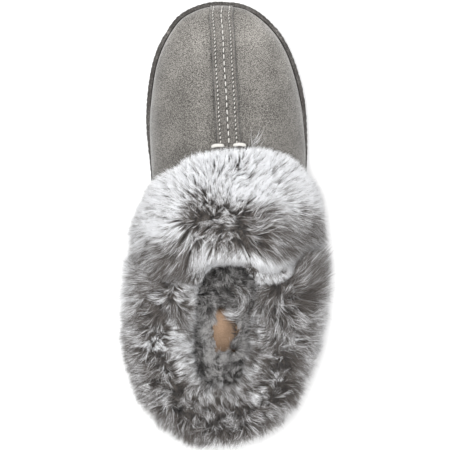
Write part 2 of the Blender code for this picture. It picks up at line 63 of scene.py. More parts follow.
SOLE_OUTLINE = [
    (-3.5, 135.0), (16.0, 131.0), (34.4, 113.5), (45.6, 85.0), (49.2, 52.0), (47.0, 12.0),
    (41.0, -35.0), (35.0, -75.0), (29.0, -101.0), (14.5, -117.0), (-4.5, -121.5),
    (-23.5, -117.0), (-37.5, -101.0), (-42.0, -75.0), (-42.5, -35.0), (-44.0, 5.0),
    (-46.3, 34.0), (-48.9, 66.0), (-44.7, 99.0), (-33.0, 122.4), (-19.5, 132.0),
]
OUTSOLE_FLOOR = 6.0
RIM_TOP = 21.0
RIM_WALL = 2.6
FOOTBED_TOP = 24.4
PATCH = (24.7, 25.9)
UPPER_INSET = RIM_WALL + 0.5
UPPER_BOTTOM = 14.4
EQUATOR = 28.0
BULGE = 2.6
BULGE_START = 95.0
BULGE_LENGTH = 75.0
LEATHER = 1.6
LINING = 3.0
LINING_DEPTH = 3.4
WALL = LINING_DEPTH + LINING
LINING_BOTTOM = 16.4
TOE_TIP = 135.0 - UPPER_INSET
NOSE_LENGTH = 45.0
CROWN_FRONT, CROWN_RISE, CROWN_LENGTH = 20.0, 40.0, 110.0
WIDTH_POWER = 2.25
HEEL_CENTRE = -80.0
THROAT = -12.0
SIDE_SEAM = -30.0
TOPLINE = [(-30.0, 66.0), (-50.0, 59.0), (-75.0, 53.0), (-116.0, 50.0)]
STRIP_HALF_WIDTH = 7.0
STRIP_REAR = 28.0
STRIP_THICKNESS = 1.3
STRIP_CLEARANCE = 0.5
STRIP_DRIFT = 0.8    # the strip wanders this far off the centre line towards the instep
DRIFT_START, DRIFT_LENGTH = 112.0, 75.0
ROWS = {"stitch_row_medial": -4.9, "stitch_row_centre": 0.0, "stitch_row_lateral": 4.55}
TACKS = {"bar_tack_medial": -6.7, "bar_tack_lateral": 6.0}
TACK_LENGTH = 7.3
TACK_RADIUS = 1.08
TACK_STATION = 46.5
CUFF_CLEARANCE = 1.7
EDGE_CLEARANCE = 2.6
INSTEP_CLEARANCE = 3.8
CUFF_INNER_LEG = 12.0
CUFF_LOW_EDGE = 31.0
FRONT_INNER_PILE, FRONT_INNER_ENDS = 8.0, -3.0
HEEL_PILE, SIDE_PILE = 13.4, {-1: 10.2, 1: 12.0}
HEEL_INNER_PILE, SIDE_INNER_PILE = 9.0, -4.0
CUFF_LEAN = 17.0
PILE_DEPTHS = [(0.12, 0.92), (0.35, 1.0), (0.6, 1.0), (0.84, 0.9), (1.0, 0.55)]
FRONT_SECTIONS = [
    (-1.0, -13.0, 0.04, 20.0), (-0.86, 2.0, 0.04, 14.8), (-0.7, 16.0, 0.08, 12.6),
    (-0.5, 28.5, 0.45, 13.6), (-0.25, 39.5, 0.78, 14.6), (0.0, 43.5, 1.0, 14.3),
    (0.25, 44.0, 0.78, 14.6), (0.5, 37.5, 0.45, 14.4), (0.7, 24.5, 0.08, 13.4),
    (0.86, 7.0, 0.04, 14.6), (1.0, -13.0, 0.04, 20.0),
]
REAR_SECTIONS = 23


# ---- small helpers

def smoothstep(value):
    value = np.clip(value, 0.0, 1.0)
    return value * value * (3 - 2 * value)


def ramp(value, start, length):
    """A smooth rise from 0 at start to 1 a length on, which is negative for a rise backwards."""
    return smoothstep((value - start) / length)


def coords(*parts):
    """Points from their coordinates, where a single number holds for all of them."""
    return np.column_stack(np.broadcast_arrays(*parts))


def raised(flat, height):
    """Plan points set at a height."""
    return coords(flat[:, 0], flat[:, 1], height)


def unit(vectors):
    return vectors / np.maximum(np.linalg.norm(vectors, axis=-1, keepdims=True), 1e-9)


def running(points):
    """Length along a line at each of its points."""
    return np.concatenate([[0], np.cumsum(np.linalg.norm(np.diff(points, axis=0), axis=1))])


def waves(points, size, seed, count=12):
    """Smooth noise of about unit strength, with lumps of the given size in mm."""
    rng = np.random.default_rng(seed)
    turns = rng.normal(size=(count, 3)) * (2.6 / size)
    phases = rng.uniform(0, 2 * math.pi, count)
    return np.sin(points @ turns.T + phases).sum(axis=-1) * math.sqrt(2 / count)


# ---- surfaces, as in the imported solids

KNOT_STEPS = 24
OUTLINE_STEPS = 720


def spline_between(a, b, c, d, t):
    """Point at t on the smooth curve from b to c, with a before and d after them."""
    return 0.5 * (2 * b + (c - a) * t + (2 * a - 5 * b + 4 * c - d) * t * t
                  + (3 * b - a - 3 * c + d) * t ** 3)


def closed_spline(points, steps):
    """Evenly spaced points on a smooth closed curve through the given ones."""
    knots = np.array(points, float)
    fine = []
    for i in range(len(knots)):
        near = [knots[(i + k) % len(knots)] for k in (-1, 0, 1, 2)]
        fine += [spline_between(*near, t) for t in np.linspace(0, 1, KNOT_STEPS, endpoint=False)]
    loop = np.array(fine + fine[:1])
    along = running(loop)
    at = np.linspace(0, along[-1], steps, endpoint=False)
    return np.column_stack([np.interp(at, along, loop[:, k]) for k in (0, 1)])


def inward_normals(points):
    tangent = unit(np.roll(points, -1, axis=0) - np.roll(points, 1, axis=0))
    return np.column_stack([tangent[:, 1], -tangent[:, 0]])


def outline(inset, steps):
    """The sole outline moved inwards by inset. It runs clockwise from the toe tip."""
    points = closed_spline(SOLE_OUTLINE, steps)
    return points + inward_normals(points) * inset


UPPER_LINE = outline(UPPER_INSET, OUTLINE_STEPS)
HEEL_INDEX = int(UPPER_LINE[:, 1].argmin())


def sides(station):
    """Where the upper's outline crosses a station: medial x and lateral x."""
    lateral = UPPER_LINE[:HEEL_INDEX + 1][::-1]
    medial = np.vstack([UPPER_LINE[HEEL_INDEX:], UPPER_LINE[:1]])
    return (np.interp(station, medial[:, 1], medial[:, 0]),
            np.interp(station, lateral[:, 1], lateral[:, 0]))


def bulge(station):
    return BULGE * ramp(station, BULGE_START, -BULGE_LENGTH)


def crown(station):
    """Height of the upper's centre line above its equator."""
    behind = np.maximum(TOE_TIP - station, 0.0)
    nose = np.sqrt(np.maximum(0.0, 1 - (1 - np.minimum(behind / NOSE_LENGTH, 1.0)) ** 2))
    return (CROWN_FRONT + CROWN_RISE * (1 - np.exp(-behind / CROWN_LENGTH))) * nose


def profile(half, station, level):
    """Half width and height of the upper. Level -1 is its hem, 0 its equator, 1 its crown."""
    low = EQUATOR + level * (EQUATOR - UPPER_BOTTOM)
    rise = np.clip((low - RIM_TOP - GAP) / (EQUATOR - RIM_TOP - GAP), 0.0, 1.0)
    angle = np.clip(level, 0.0, 1.0) * math.pi / 2
    wide = (half + bulge(station)) * np.maximum(np.cos(angle), 0.0) ** (2 / WIDTH_POWER)
    high = EQUATOR + crown(station) * np.sin(angle)
    below = level < 0
    return (np.where(below, half + bulge(station) * np.sin(rise * math.pi / 2), wide),
            np.where(below, low, high))


def level_at(station, height):
    """The level at which the upper reaches a height above its equator."""
    return np.arcsin(np.clip((height - EQUATOR) / crown(station), -1, 1)) / (math.pi / 2)


def vamp_point(station, side, level):
    station, level = np.broadcast_arrays(np.asarray(station, float), np.asarray(level, float))
    medial, lateral = sides(station)
    width, height = profile((lateral - medial) / 2, station, level)
    across = (medial + lateral) / 2 + side * np.maximum(width, VAMP_SEAM)
    return np.stack([across, station, height], axis=-1)


WALL_LOOP = np.vstack([UPPER_LINE, UPPER_LINE[:1]])
WALL_LENGTHS = running(WALL_LOOP)


def wall_spot(reach):
    """Plan point on the upper's outline, reach mm round from the heel centre, lateral first."""
    at = (WALL_LENGTHS[HEEL_INDEX] - np.asarray(reach, float)) % WALL_LENGTHS[-1]
    return np.stack([np.interp(at, WALL_LENGTHS, WALL_LOOP[:, k]) for k in (0, 1)], axis=-1)


def wall_point(reach, level):
    """Point on the outside of the upper behind the ball, where the heel turns."""
    reach, level = np.broadcast_arrays(np.asarray(reach, float), np.asarray(level, float))
    spot = wall_spot(reach)
    station = np.maximum(spot[..., 1], HEEL_CENTRE)
    medial, lateral = sides(station)
    centre = np.stack([(medial + lateral) / 2, station], axis=-1)
    out = spot - centre
    width, height = profile(np.linalg.norm(out, axis=-1), station, level)
    plan = centre + unit(out) * width[..., None]
    return np.concatenate([plan, height[..., None]], axis=-1)


def reach_of(station, side):
    """How far round from the heel centre a station lies on one side."""
    tries = np.linspace(40.0, 260.0, 441)
    return side * float(np.interp(station, wall_spot(side * tries)[:, 1], tries))


def topline_height(station):
    stations, heights = zip(*reversed(TOPLINE))
    return np.interp(station, stations, heights)


CORNER_LEVEL = float(level_at(SIDE_SEAM, topline_height(SIDE_SEAM)))
SEAM_REACH = {side: reach_of(SIDE_SEAM, side) for side in (-1, 1)}


def throat(level):
    """Rear edge of the vamp: straight down the side, then forward over the instep."""
    rise = ramp(level, CORNER_LEVEL, 1 - CORNER_LEVEL)
    return SIDE_SEAM + (THROAT - SIDE_SEAM) * rise


def crest(x, y):
    """Height of the upper above a plan point given from its centre line, and that centre."""
    medial, lateral = sides(y)
    share = np.minimum(np.abs(x) / ((lateral - medial) / 2 + bulge(y)), 1.0)
    height = EQUATOR + crown(y) * np.sqrt(np.maximum(0.0, 1 - share ** WIDTH_POWER))
    return height, (medial + lateral) / 2


def strip_drift(y):
    """How far the strip's centre line lies to the lateral side of the upper's."""
    return STRIP_DRIFT * ramp(y, DRIFT_START, -DRIFT_LENGTH)


TOE_STATIONS = np.linspace(STRIP_REAR, TOE_TIP - 0.02, 400)
TOE_HALVES = (sides(TOE_STATIONS)[1] - sides(TOE_STATIONS)[0]) / 2


def strip_point(offset, fraction, lift):
    """Point above the vamp, offset sideways from the centre seam. Fraction 1 is the toe."""
    offset, fraction = np.broadcast_arrays(np.asarray(offset, float), np.asarray(fraction, float))
    end = np.interp(-np.abs(offset) - 0.5, -TOE_HALVES[200:], TOE_STATIONS[200:])
    station = STRIP_REAR + (end - STRIP_REAR) * np.sin(fraction * math.pi / 2)

    def surface(x, y):
        drift = strip_drift(y)
        height, middle = crest(x + drift, y)
        return np.stack([middle + drift + x, y, height], axis=-1)

    ahead = surface(offset, np.minimum(station + 0.4, end)) - surface(offset, station - 0.4)
    across = surface(offset + 0.5, station) - surface(offset - 0.5, station)
    return surface(offset, station) + unit(np.cross(across, ahead)) * np.asarray(lift)[..., None]


# ---- cuff sections

def wrapped_rows(point, start, way, spread, inner_reach, lift, level_across=False):
    """Rows of a cuff section: its backing, which lies on the upper, and its pile's face.

    Start is where the section leaves the upper's edge, and way how far it goes, both as the
    parameters of point. On the centre line the surface is level across.
    """
    def path(t):
        return point(*(start + way * t))

    def normal(t):
        if level_across:
            slope = path(min(t + 0.05, 1)) - path(max(t - 0.05, 0))
            return unit(np.cross(np.array([1.0, 0, 0]), slope))
        return surface_normal(point, *(start + way * t))

    samples = np.array([path(t) for t in np.linspace(0, 1, 25)])
    length = np.linalg.norm(np.diff(samples, axis=0), axis=1).sum()
    inside = min(CUFF_INNER_LEG / length, 0.8)
    edge, edge_normal = path(0.0), normal(0.0)
    beyond = unit(edge - path(0.06))
    beyond = beyond - edge_normal * float(beyond @ edge_normal)
    deep = WALL + 2 * CUFF_CLEARANCE
    backing = [path(inside) - normal(inside) * deep,
               edge + beyond * EDGE_CLEARANCE - edge_normal * deep,
               edge + beyond * EDGE_CLEARANCE + edge_normal * lift]
    face = [backing[0] - normal(inside) * inner_reach * 0.55,
            backing[1] + (beyond * 0.6 - edge_normal * 0.8) * inner_reach,
            backing[2] + (beyond * 0.95 + edge_normal * 0.3) * inner_reach * 1.2]
    for t, share in PILE_DEPTHS:
        here = path(t) + normal(t) * lift
        backing.append(here)
        face.append(here + (normal(t) + beyond * 0.25 * (1 - t)) * spread * share)
    return backing, face


def surface_normal(point, a, b, step=0.02):
    """Outward normal of point(a, b) by finite differences."""
    along = point(a + step * 20, b) - point(a - step * 20, b)
    up = point(a, min(b + step, 0.999)) - point(a, b - step)
    normal = unit(np.cross(along, up))
    centre = np.array([0.0, point(a, b)[1], EQUATOR - 10])
    return normal if normal @ (point(a, b) - centre) > 0 else -normal


def front_section(turn, end_station, end_level, depth):
    """One section of the instep cuff, fanned out from the throat."""
    start_level = 1 - (1 - CORNER_LEVEL) * abs(turn)
    start = np.array([throat(start_level), start_level])
    way = np.array([end_station, end_level]) - start

    def on_vamp(station, level):
        return vamp_point(station, -1 if turn < 0 else 1, level)

    over_strip = 1 - smoothstep(abs(turn) * 1.6 - 0.4)
    lift = CUFF_CLEARANCE + (INSTEP_CLEARANCE - CUFF_CLEARANCE) * over_strip
    inner_reach = FRONT_INNER_PILE + FRONT_INNER_ENDS * abs(turn)
    return wrapped_rows(on_vamp, start, way, depth, inner_reach, lift, turn == 0.0)


def rear_section(share):
    """One section of the side and heel cuff. Share runs from the medial to the lateral end."""
    side = -1 if share < 0 else 1
    reach = abs(share) * (SEAM_REACH[side] - side * 1.4)
    lean = side * CUFF_LEAN * ramp(abs(share), 0.55, 0.45)
    top_station = wall_spot(reach)[1]
    start_level, end_level = (level_at(max(top_station, HEEL_CENTRE), height)
                              for height in (topline_height(top_station), CUFF_LOW_EDGE))
    start, way = np.array([reach, start_level]), np.array([lean, end_level - start_level])
    beside = ramp(abs(share), 0.15, 0.5)
    return wrapped_rows(wall_point, start, way, HEEL_PILE + SIDE_PILE[side] * beside,
                        HEEL_INNER_PILE + SIDE_INNER_PILE * beside, CUFF_CLEARANCE)


# Plan outlines: the pile, clockwise from the front, and the opening.
PILE_OUTLINE = [
    (-0.9, 44.8), (11.2, 45.6), (21.5, 46.0), (36.6, 41.7), (44.1, 36.7), (49.5, 31.5), (55.4, 23.6),
    (60.2, 11.1), (62.6, -9.7), (62.2, -23.0), (63.4, -38.0), (62.5, -54.0), (57.8, -74.0), (51.5, -94.0),
    (43.0, -110.5), (29.0, -125.5), (8.0, -133.0), (-12.0, -135.0), (-28.0, -131.5), (-46.0, -118.0),
    (-57.0, -102.0), (-63.2, -78.0), (-64.8, -52.0), (-64.6, -33.9), (-61.8, -10.6), (-58.0, 1.8),
    (-52.3, 13.0), (-45.7, 25.4), (-31.2, 33.9), (-22.1, 40.5), (-13.0, 43.0),
]
OPENING_OUTLINE = [
    (-2.0, -25.5), (10.0, -25.0), (18.4, -24.0), (19.6, -33.0), (18.8, -42.0), (17.5, -50.0), (15.8, -58.0),
    (14.0, -66.0), (11.5, -75.0), (8.0, -84.0), (1.0, -90.0), (-8.0, -92.0), (-17.0, -89.0), (-19.2, -80.0),
    (-19.2, -58.0), (-18.2, -46.0), (-16.0, -36.0), (-12.5, -28.5), (-8.0, -26.0),
]
# The part of the heel patch that the pile leaves open.
WINDOW_OUTLINE = [
    (-6.6, -52.5), (-4.5, -50.0), (-1.0, -50.0), (1.2, -52.0), (2.4, -55.5), (5.0, -59.5), (6.4, -64.3),
    (4.8, -68.4), (2.8, -71.5), (1.4, -75.0), (-1.4, -77.4), (-4.8, -77.4), (-6.2, -72.9), (-6.8, -60.9),
]
# Rear edge of the instep pile: (x, station).
FLAP_EDGE = [
    (-64, -36), (-42, -35), (-28, -33), (-20, -28.5), (-14, -25.5), (-8, -24.5), (12, -24), (16, -25),
    (20, -26.5), (30, -29.5), (38, -26.5), (46, -21.5), (53, -15),
]


def resample(grid, count):
    """A grid's first axis made finer with a smooth curve through its rows."""
    rows = len(grid)
    padded = np.concatenate([[2 * grid[0] - grid[1]], grid, [2 * grid[-1] - grid[-2]]])
    at = np.linspace(0, rows - 1, count)
    low = np.minimum(at.astype(int), rows - 2)
    t = (at - low)[:, None, None]
    return spline_between(*(padded[low + k] for k in range(4)), t)


# Points of the fine grids: along each cuff, and across it.
CUFF_ALONG, CUFF_ACROSS = {"front": 150, "rear": 230}, 70


def fine(rows, along, across):
    return resample(resample(np.array(rows), along).swapaxes(0, 1), across).swapaxes(0, 1)


def cuff_grids(sections, along):
    """Backing and pile face of a cuff as fine grids."""
    return [fine(rows, along, CUFF_ACROSS) for rows in zip(*sections)]


class Edge:
    """A closed plan outline as a radius for each direction from a middle point."""

    def __init__(self, points, middle):
        line = closed_spline(points, OUTLINE_STEPS) - np.array(middle)
        angles = np.arctan2(line[:, 1], line[:, 0])
        order = np.argsort(angles)
        self.middle, self.angles = np.array(middle), angles[order]
        self.radii = np.linalg.norm(line, axis=1)[order]

    def distance(self, places):
        return np.linalg.norm(places[:, :2] - self.middle, axis=1)

    def radius(self, places):
        away = places[:, :2] - self.middle
        angles = np.arctan2(away[:, 1], away[:, 0])
        return np.interp(angles, self.angles, self.radii, period=2 * math.pi)

    def share(self, radius, root, tip, way, least):
        """The share of each strand's length that is left when it stops at a radius.

        Way is 1 for strands that may not go out, and -1 for strands that may not come in.
        """
        start, end = self.distance(root), self.distance(tip)
        share = way * (radius - start) / np.maximum(way * (end - start), 0.1)
        return np.where(way * (end - radius) > 0, np.clip(share, least, 1.0), 1.0)


HEEL_PILE_HEIGHT = 56.0
PILE_EDGE = Edge(PILE_OUTLINE, (0.0, -45.0))
OPENING_EDGE = Edge(OPENING_OUTLINE, (-1.5, -57.0))
WINDOW_EDGE = Edge(WINDOW_OUTLINE, (-1.0, -64.5))


def within_pile(root, tip, rng):
    """How far along its length each strand may go before it leaves the pile's outline.

    The heel's pile is rounded off above and below its middle.
    """
    radius = PILE_EDGE.radius(tip) + rng.normal(-0.7, 1.1, len(tip)) - 0.7 * (tip[:, 0] > 0)
    off_middle = np.minimum(np.abs(tip[:, 2] - HEEL_PILE_HEIGHT) / 20, 1.2)
    radius -= 4.5 * ramp(tip[:, 1], -75, -30) * off_middle ** 2
    return PILE_EDGE.share(radius, root, tip, 1, 0.12)


def keep_off(hole, spread):
    """A limit that stops strands at the edge of a hole that they point into."""
    def limit(root, tip, rng):
        radius = hole.radius(tip) + rng.normal(0.0, spread, len(tip))
        return hole.share(radius, root, tip, -1, 0.08)
    return limit


def off_flap(root, tip, rng):
    """How far along its length each instep strand may go before it passes the flap's edge."""
    edge = np.interp(tip[:, 0], *zip(*FLAP_EDGE)) + rng.normal(0.0, 0.8, len(tip))
    share = (root[:, 1] - edge) / np.maximum(root[:, 1] - tip[:, 1], 0.1)
    return np.where(tip[:, 1] < edge, np.clip(share, 0.3, 1.0), 1.0)


# ---- meshes

def add_object(name, data):
    made = bpy.data.objects.new(name, data)
    bpy.context.scene.collection.objects.link(made)
    return made


def turned_out(verts, faces):
    """The face arrays of a closed body, turned so that they face outwards."""
    volume = 0.0
    for some in faces:
        first = verts[some[:, 0]]
        for k in range(1, some.shape[1] - 1):
            volume += np.sum(first * np.cross(verts[some[:, k]], verts[some[:, k + 1]]))
    return [some[:, ::-1] for some in faces] if volume < 0 else faces


def make_mesh(name, verts, faces, look, uv=None, shade=None):
    """A closed body from vertex and triangle or quad arrays, with lengths in mm."""
    mesh = bpy.data.meshes.new(name)
    faces = turned_out(verts, faces)
    sizes = np.concatenate([np.full(len(f), f.shape[1]) for f in faces])
    corners = np.concatenate([f.ravel() for f in faces])
    mesh.vertices.add(len(verts))
    mesh.vertices.foreach_set("co", (verts * MM).ravel())
    mesh.loops.add(len(corners))
    mesh.loops.foreach_set("vertex_index", corners.astype(np.int32))
    mesh.polygons.add(len(sizes))
    mesh.polygons.foreach_set("loop_start", np.concatenate([[0], np.cumsum(sizes)[:-1]]).astype(np.int32))
    mesh.update(calc_edges=True)
    mesh.shade_smooth()
    if uv is not None:
        layer = mesh.uv_layers.new(name="OFBake")
        layer.data.foreach_set("uv", uv[corners].ravel())
    if shade is not None:
        mesh.attributes.new("shade", "FLOAT", "POINT").data.foreach_set("value", shade.ravel())
    mesh.materials.append(look)
    return add_object(name, mesh)


def grid_quads(rows, columns, start=0):
    at = np.arange(rows * columns).reshape(rows, columns) + start
    return np.stack([at[:-1, :-1], at[:-1, 1:], at[1:, 1:], at[1:, :-1]], axis=-1).reshape(-1, 4)


def ring_quads(*shape):
    """Quads along closed rings of points: shape ends with how many rings, of how many points."""
    at = np.arange(math.prod(shape)).reshape(shape)
    after = np.roll(at, -1, axis=-1)
    quads = [at[..., :-1, :], after[..., :-1, :], after[..., 1:, :], at[..., 1:, :]]
    return np.stack(quads, axis=-1).reshape(-1, 4)


def ring_body(name, rings, look, shade=None):
    """A closed body through rings of equal point count. Its end rings have no width."""
    faces = ring_quads(len(rings), len(rings[0]))
    return make_mesh(name, np.concatenate(rings), [faces], look, shade=shade)


def grid_normals(grid):
    """Unit normals of a grid on the upper, pointing out of the slipper."""
    normals = unit(np.cross(np.gradient(grid, axis=1), np.gradient(grid, axis=0)))
    middle = grid.copy()
    middle[..., 0] = 0.0
    middle[..., 1] = np.clip(grid[..., 1], HEEL_CENTRE, 100.0)
    middle[..., 2] = EQUATOR - 10
    return normals * np.sign(np.sum(normals * (grid - middle)))


def slab(name, outer, inner, look, shade=None):
    """A closed body between two grids of the same size."""
    rows, columns = outer.shape[:2]
    total = rows * columns
    at = np.arange(total).reshape(rows, columns)
    ring = np.concatenate([at[0, :], at[1:, -1], at[-1, -2::-1], at[-2:0:-1, 0]])
    after = np.roll(ring, -1)
    rim = np.stack([after, ring, ring + total, after + total], axis=-1)
    faces = np.concatenate([grid_quads(rows, columns), grid_quads(rows, columns, total)[:, ::-1], rim])
    verts = np.concatenate([outer.reshape(-1, 3), inner.reshape(-1, 3)])
    shade = np.ones(total) if shade is None else shade.ravel()
    return make_mesh(name, verts, [faces], look, shade=np.concatenate([shade, np.ones(total)]))


def done(piece, node):
    """The piece rides on the one body and takes the place of a solid."""
    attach(piece, "root")
    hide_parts(node)


# ---- materials

class Nodes:
    """Short names for building a procedural material."""

    def __init__(self, name, roughness, specular=0.3):
        self.material = bpy.data.materials.new(name)
        self.material.use_nodes = True
        self.tree = self.material.node_tree
        self.shader = self.tree.nodes["Principled BSDF"]
        self.shader.inputs["Roughness"].default_value = roughness
        self.shader.inputs["Specular IOR Level"].default_value = specular

    def node(self, kind, values=(), links=(), **settings):
        made = self.tree.nodes.new(kind)
        for key, value in settings.items():
            setattr(made, key, value)
        for key, value in dict(values).items():
            made.inputs[key].default_value = value
        for key, source in dict(links).items():
            self.tree.links.new(source, made.inputs[key])
        return made

    def place(self, scale=(1, 1, 1)):
        where = self.node("ShaderNodeTexCoord").outputs["Object"]
        return self.node("ShaderNodeMapping", {"Scale": scale}, {"Vector": where}).outputs[0]

    def noise(self, where, scale, detail=3.0, roughness=0.5):
        values = {"Scale": scale, "Detail": detail, "Roughness": roughness}
        return self.node("ShaderNodeTexNoise", values, {"Vector": where}).outputs["Fac"]

    def feed(self, socket, value):
        """Links a node's output to a socket, or sets a number or a colour on it."""
        if isinstance(value, bpy.types.NodeSocket):
            self.tree.links.new(value, socket)
        else:
            socket.default_value = (*value, 1.0) if isinstance(value, tuple) else value

    def math(self, operation, a, b):
        made = self.node("ShaderNodeMath", operation=operation)
        self.feed(made.inputs[0], a)
        self.feed(made.inputs[1], b)
        return made.outputs[0]

    def add(self, a, b):
        return self.math("ADD", a, b)

    def swing(self, noise, gain):
        """A noise's swing about its middle, times a gain."""
        return self.math("MULTIPLY", self.math("SUBTRACT", noise, 0.5), gain)

    def ramp(self, factor, stops):
        made = self.node("ShaderNodeValToRGB", links={"Fac": factor})
        line = made.color_ramp
        while len(line.elements) < len(stops):
            line.elements.new(0.5)
        for element, (position, colour) in zip(line.elements, stops):
            element.position = position
            element.color = (*colour, 1.0)
        return made.outputs["Color"]

    def multiply(self, factor, a, b):
        made = self.node("ShaderNodeMix", data_type="RGBA", blend_type="MULTIPLY")
        for name, value in (("Factor", factor), ("A", a), ("B", b)):
            self.feed(made.inputs[name], value)
        return made.outputs["Result"]

    def painted_light_and_wear(self):
        """The mesh's shade attribute, which holds painted light and shade and a real scuff, as a colour to
        multiply by.
        """
        shade = self.node("ShaderNodeAttribute", attribute_name="shade").outputs["Fac"]
        links = {"X": shade, "Y": shade, "Z": shade}
        return self.node("ShaderNodeCombineXYZ", links=links).outputs["Vector"]

    def colour(self, source):
        self.tree.links.new(source, self.shader.inputs["Base Color"])

    def bump(self, height, strength, distance):
        values = {"Strength": strength, "Distance": distance}
        made = self.node("ShaderNodeBump", values, {"Height": height})
        self.tree.links.new(made.outputs["Normal"], self.shader.inputs["Normal"])

    def sheen(self, weight, roughness=0.5):
        self.shader.inputs["Sheen Weight"].default_value = weight
        self.shader.inputs["Sheen Roughness"].default_value = roughness


def suede(name, dark, light, sheen=0.25, nap=1.0):
    """Brushed suede: salt-and-pepper grain and brushed patches, times the shade attribute, which holds
    painted light and shade.
    """
    make = Nodes(name, 0.95, 0.12)
    where = make.place()
    grain = make.noise(where, 2400.0, 1.0, 0.5)
    speck = make.noise(where, 1300.0, 2.0, 0.6)
    patches = make.noise(where, 55.0, 3.0, 0.6)
    brushed = make.noise(make.place((1.0, 0.4, 1.0)), 210.0, 3.0, 0.65)
    tone = make.add(make.swing(patches, 0.9), make.swing(brushed, 0.22))
    tone = make.add(tone, make.add(make.swing(grain, 5.6 * nap), make.swing(speck, 1.5 * nap)))
    middle = tuple(0.58 * d + 0.42 * l for d, l in zip(dark, light))
    colour = make.ramp(make.add(tone, 0.5), [(0.05, dark), (0.5, middle), (0.95, light)])
    make.colour(make.multiply(1.0, colour, make.painted_light_and_wear()))
    make.bump(make.add(grain, make.math("MULTIPLY", brushed, 0.5)), 0.4 * nap, 0.0004)
    make.sheen(sheen, 0.4)
    return make.material


def pile(name, roots, shafts, tips):
    """Fur strands. The UV layer holds each strand's frosting across and its length upwards."""
    make = Nodes(name, 0.7, 0.25)
    where = make.node("ShaderNodeUVMap", uv_map="OFBake").outputs["UV"]
    parts = make.node("ShaderNodeSeparateXYZ", links={"Vector": where})
    frost, along = parts.outputs["X"], parts.outputs["Y"]
    wide = make.node("ShaderNodeMapping", {"Scale": (240.0, 1.6, 1.0)}, {"Vector": where}).outputs[0]
    streak = make.noise(wide, 1.0, 2.0, 0.6)
    place = make.add(along, make.add(make.swing(frost, 0.9), make.swing(streak, 0.3)))
    half = tuple((s + t) / 2 for s, t in zip(shafts, tips))
    colour = make.ramp(place, [(0.06, roots), (0.36, shafts), (0.52, shafts), (0.7, half), (0.84, tips)])
    shade = make.ramp(streak, [(0.3, (0.7, 0.69, 0.68)), (0.65, (1.0, 1.0, 1.0))])
    make.colour(make.multiply(0.45, colour, shade))
    make.sheen(0.12)
    return make.material


def rubber():
    """The outsole's dark rubber, speckled, times the shade attribute, which holds a real scuff and painted
    light on the rim.
    """
    make = Nodes("charcoal rubber", 0.72, 0.4)
    where = make.place()
    speckle = make.noise(where, 1400.0, 3.0, 0.7)
    patches = make.noise(where, 70.0, 3.0, 0.6)
    tone = make.add(make.math("MULTIPLY", speckle, 0.7), make.math("MULTIPLY", patches, 0.3))
    stops = [(0.36, (0.026, 0.023, 0.021)), (0.53, (0.06, 0.055, 0.051)), (0.7, (0.21, 0.2, 0.19))]
    make.colour(make.multiply(1.0, make.ramp(tone, stops), make.painted_light_and_wear()))
    make.bump(speckle, 0.8, 0.0007)
    return make.material


def plain(name, colour, spread, scale, roughness=0.9, bump=0.3):
    """A matt material mottled by noise, for threads, boards and foams."""
    make = Nodes(name, roughness, 0.25)
    where = make.place()
    mottle = make.noise(where, scale, 4.0, 0.7)
    low = tuple(c * (1 - spread) for c in colour)
    high = tuple(min(c * (1 + spread), 1.0) for c in colour)
    make.colour(make.ramp(mottle, [(0.35, low), (0.65, high)]))
    make.bump(mottle, bump, 0.0004)
    return make.material


LOOKS = {
    "suede": suede("grey suede", (0.05, 0.0465, 0.042), (0.27, 0.257, 0.238)),
    "strip": suede("grey suede strip", (0.045, 0.042, 0.038), (0.235, 0.222, 0.206)),
    "tan": suede("tan suede", (0.22, 0.143, 0.094), (0.335, 0.23, 0.158), 0.1, 0.4),
    "rubber": rubber(),
    "thread": plain("cream thread", (0.6, 0.585, 0.555), 0.15, 2500.0, 0.6),
    "foam": plain("white foam", (0.72, 0.7, 0.66), 0.15, 900.0),
    "board": plain("fibre board", (0.42, 0.33, 0.23), 0.25, 600.0),
    "fur": pile("frosted fur", (0.045, 0.038, 0.034), (0.15, 0.132, 0.12), (0.97, 0.98, 1.0)),
    "under": plain("fur backing", (0.06, 0.053, 0.048), 0.5, 500.0, 0.95, 0.8),
    "plush": pile("dark plush", (0.022, 0.02, 0.019), (0.115, 0.109, 0.106), (0.62, 0.61, 0.605)),
    "plush_under": plain("dark plush backing", (0.03, 0.028, 0.027), 0.5, 500.0, 0.95, 0.8),
}


# ---- sole

RIM_NICK = np.array([-35.8, 115.6])    # a scuff in the rim, medial of the toe


SOLE_WALL = [    # height, inset and share of the knurling, from the tread up and into the well
    (1.2, 0.9, 0.0), (1.8, 0.5, 0.2), (3.0, 0.3, 1.0), (6.0, 0.3, 1.0), (9.0, 0.3, 1.0),
    (12.0, 0.3, 1.0), (14.0, 0.3, 0.8), (14.8, 0.8, 0.0), (15.6, 0.85, 0.0), (16.2, 0.3, 0.25),
    (18.0, 0.1, 0.35), (19.4, 0.05, 0.35), (20.3, 0.12, 0.3), (20.8, 0.35, 0.25), (21.0, 0.75, 0.2),
    (21.0, 1.5, 0.1), (21.0, 2.05, 0.0), (20.9, 2.4, 0.0), (20.5, 2.6, 0.0), (19.5, 2.65, 0.0),
    (13.0, 2.65, 0.0), (OUTSOLE_FLOOR, 2.6, 0.0),
]
TOOTH_PITCH, TOOTH_DEPTH = 3.6, 0.45
GROOVE_PITCH, GROOVE_DEPTH = 9.0, 2.0
SPINE = [(-90, -4.0), (-30, -1.0), (40, 0.0), (95, -2.0)]    # middle line of the sole: (station, x)


def spine_of(line, rear, front):
    """The point of the sole's middle line beside each point of an outline."""
    return coords(np.interp(line[:, 1], *zip(*SPINE)), np.clip(line[:, 1], rear, front))


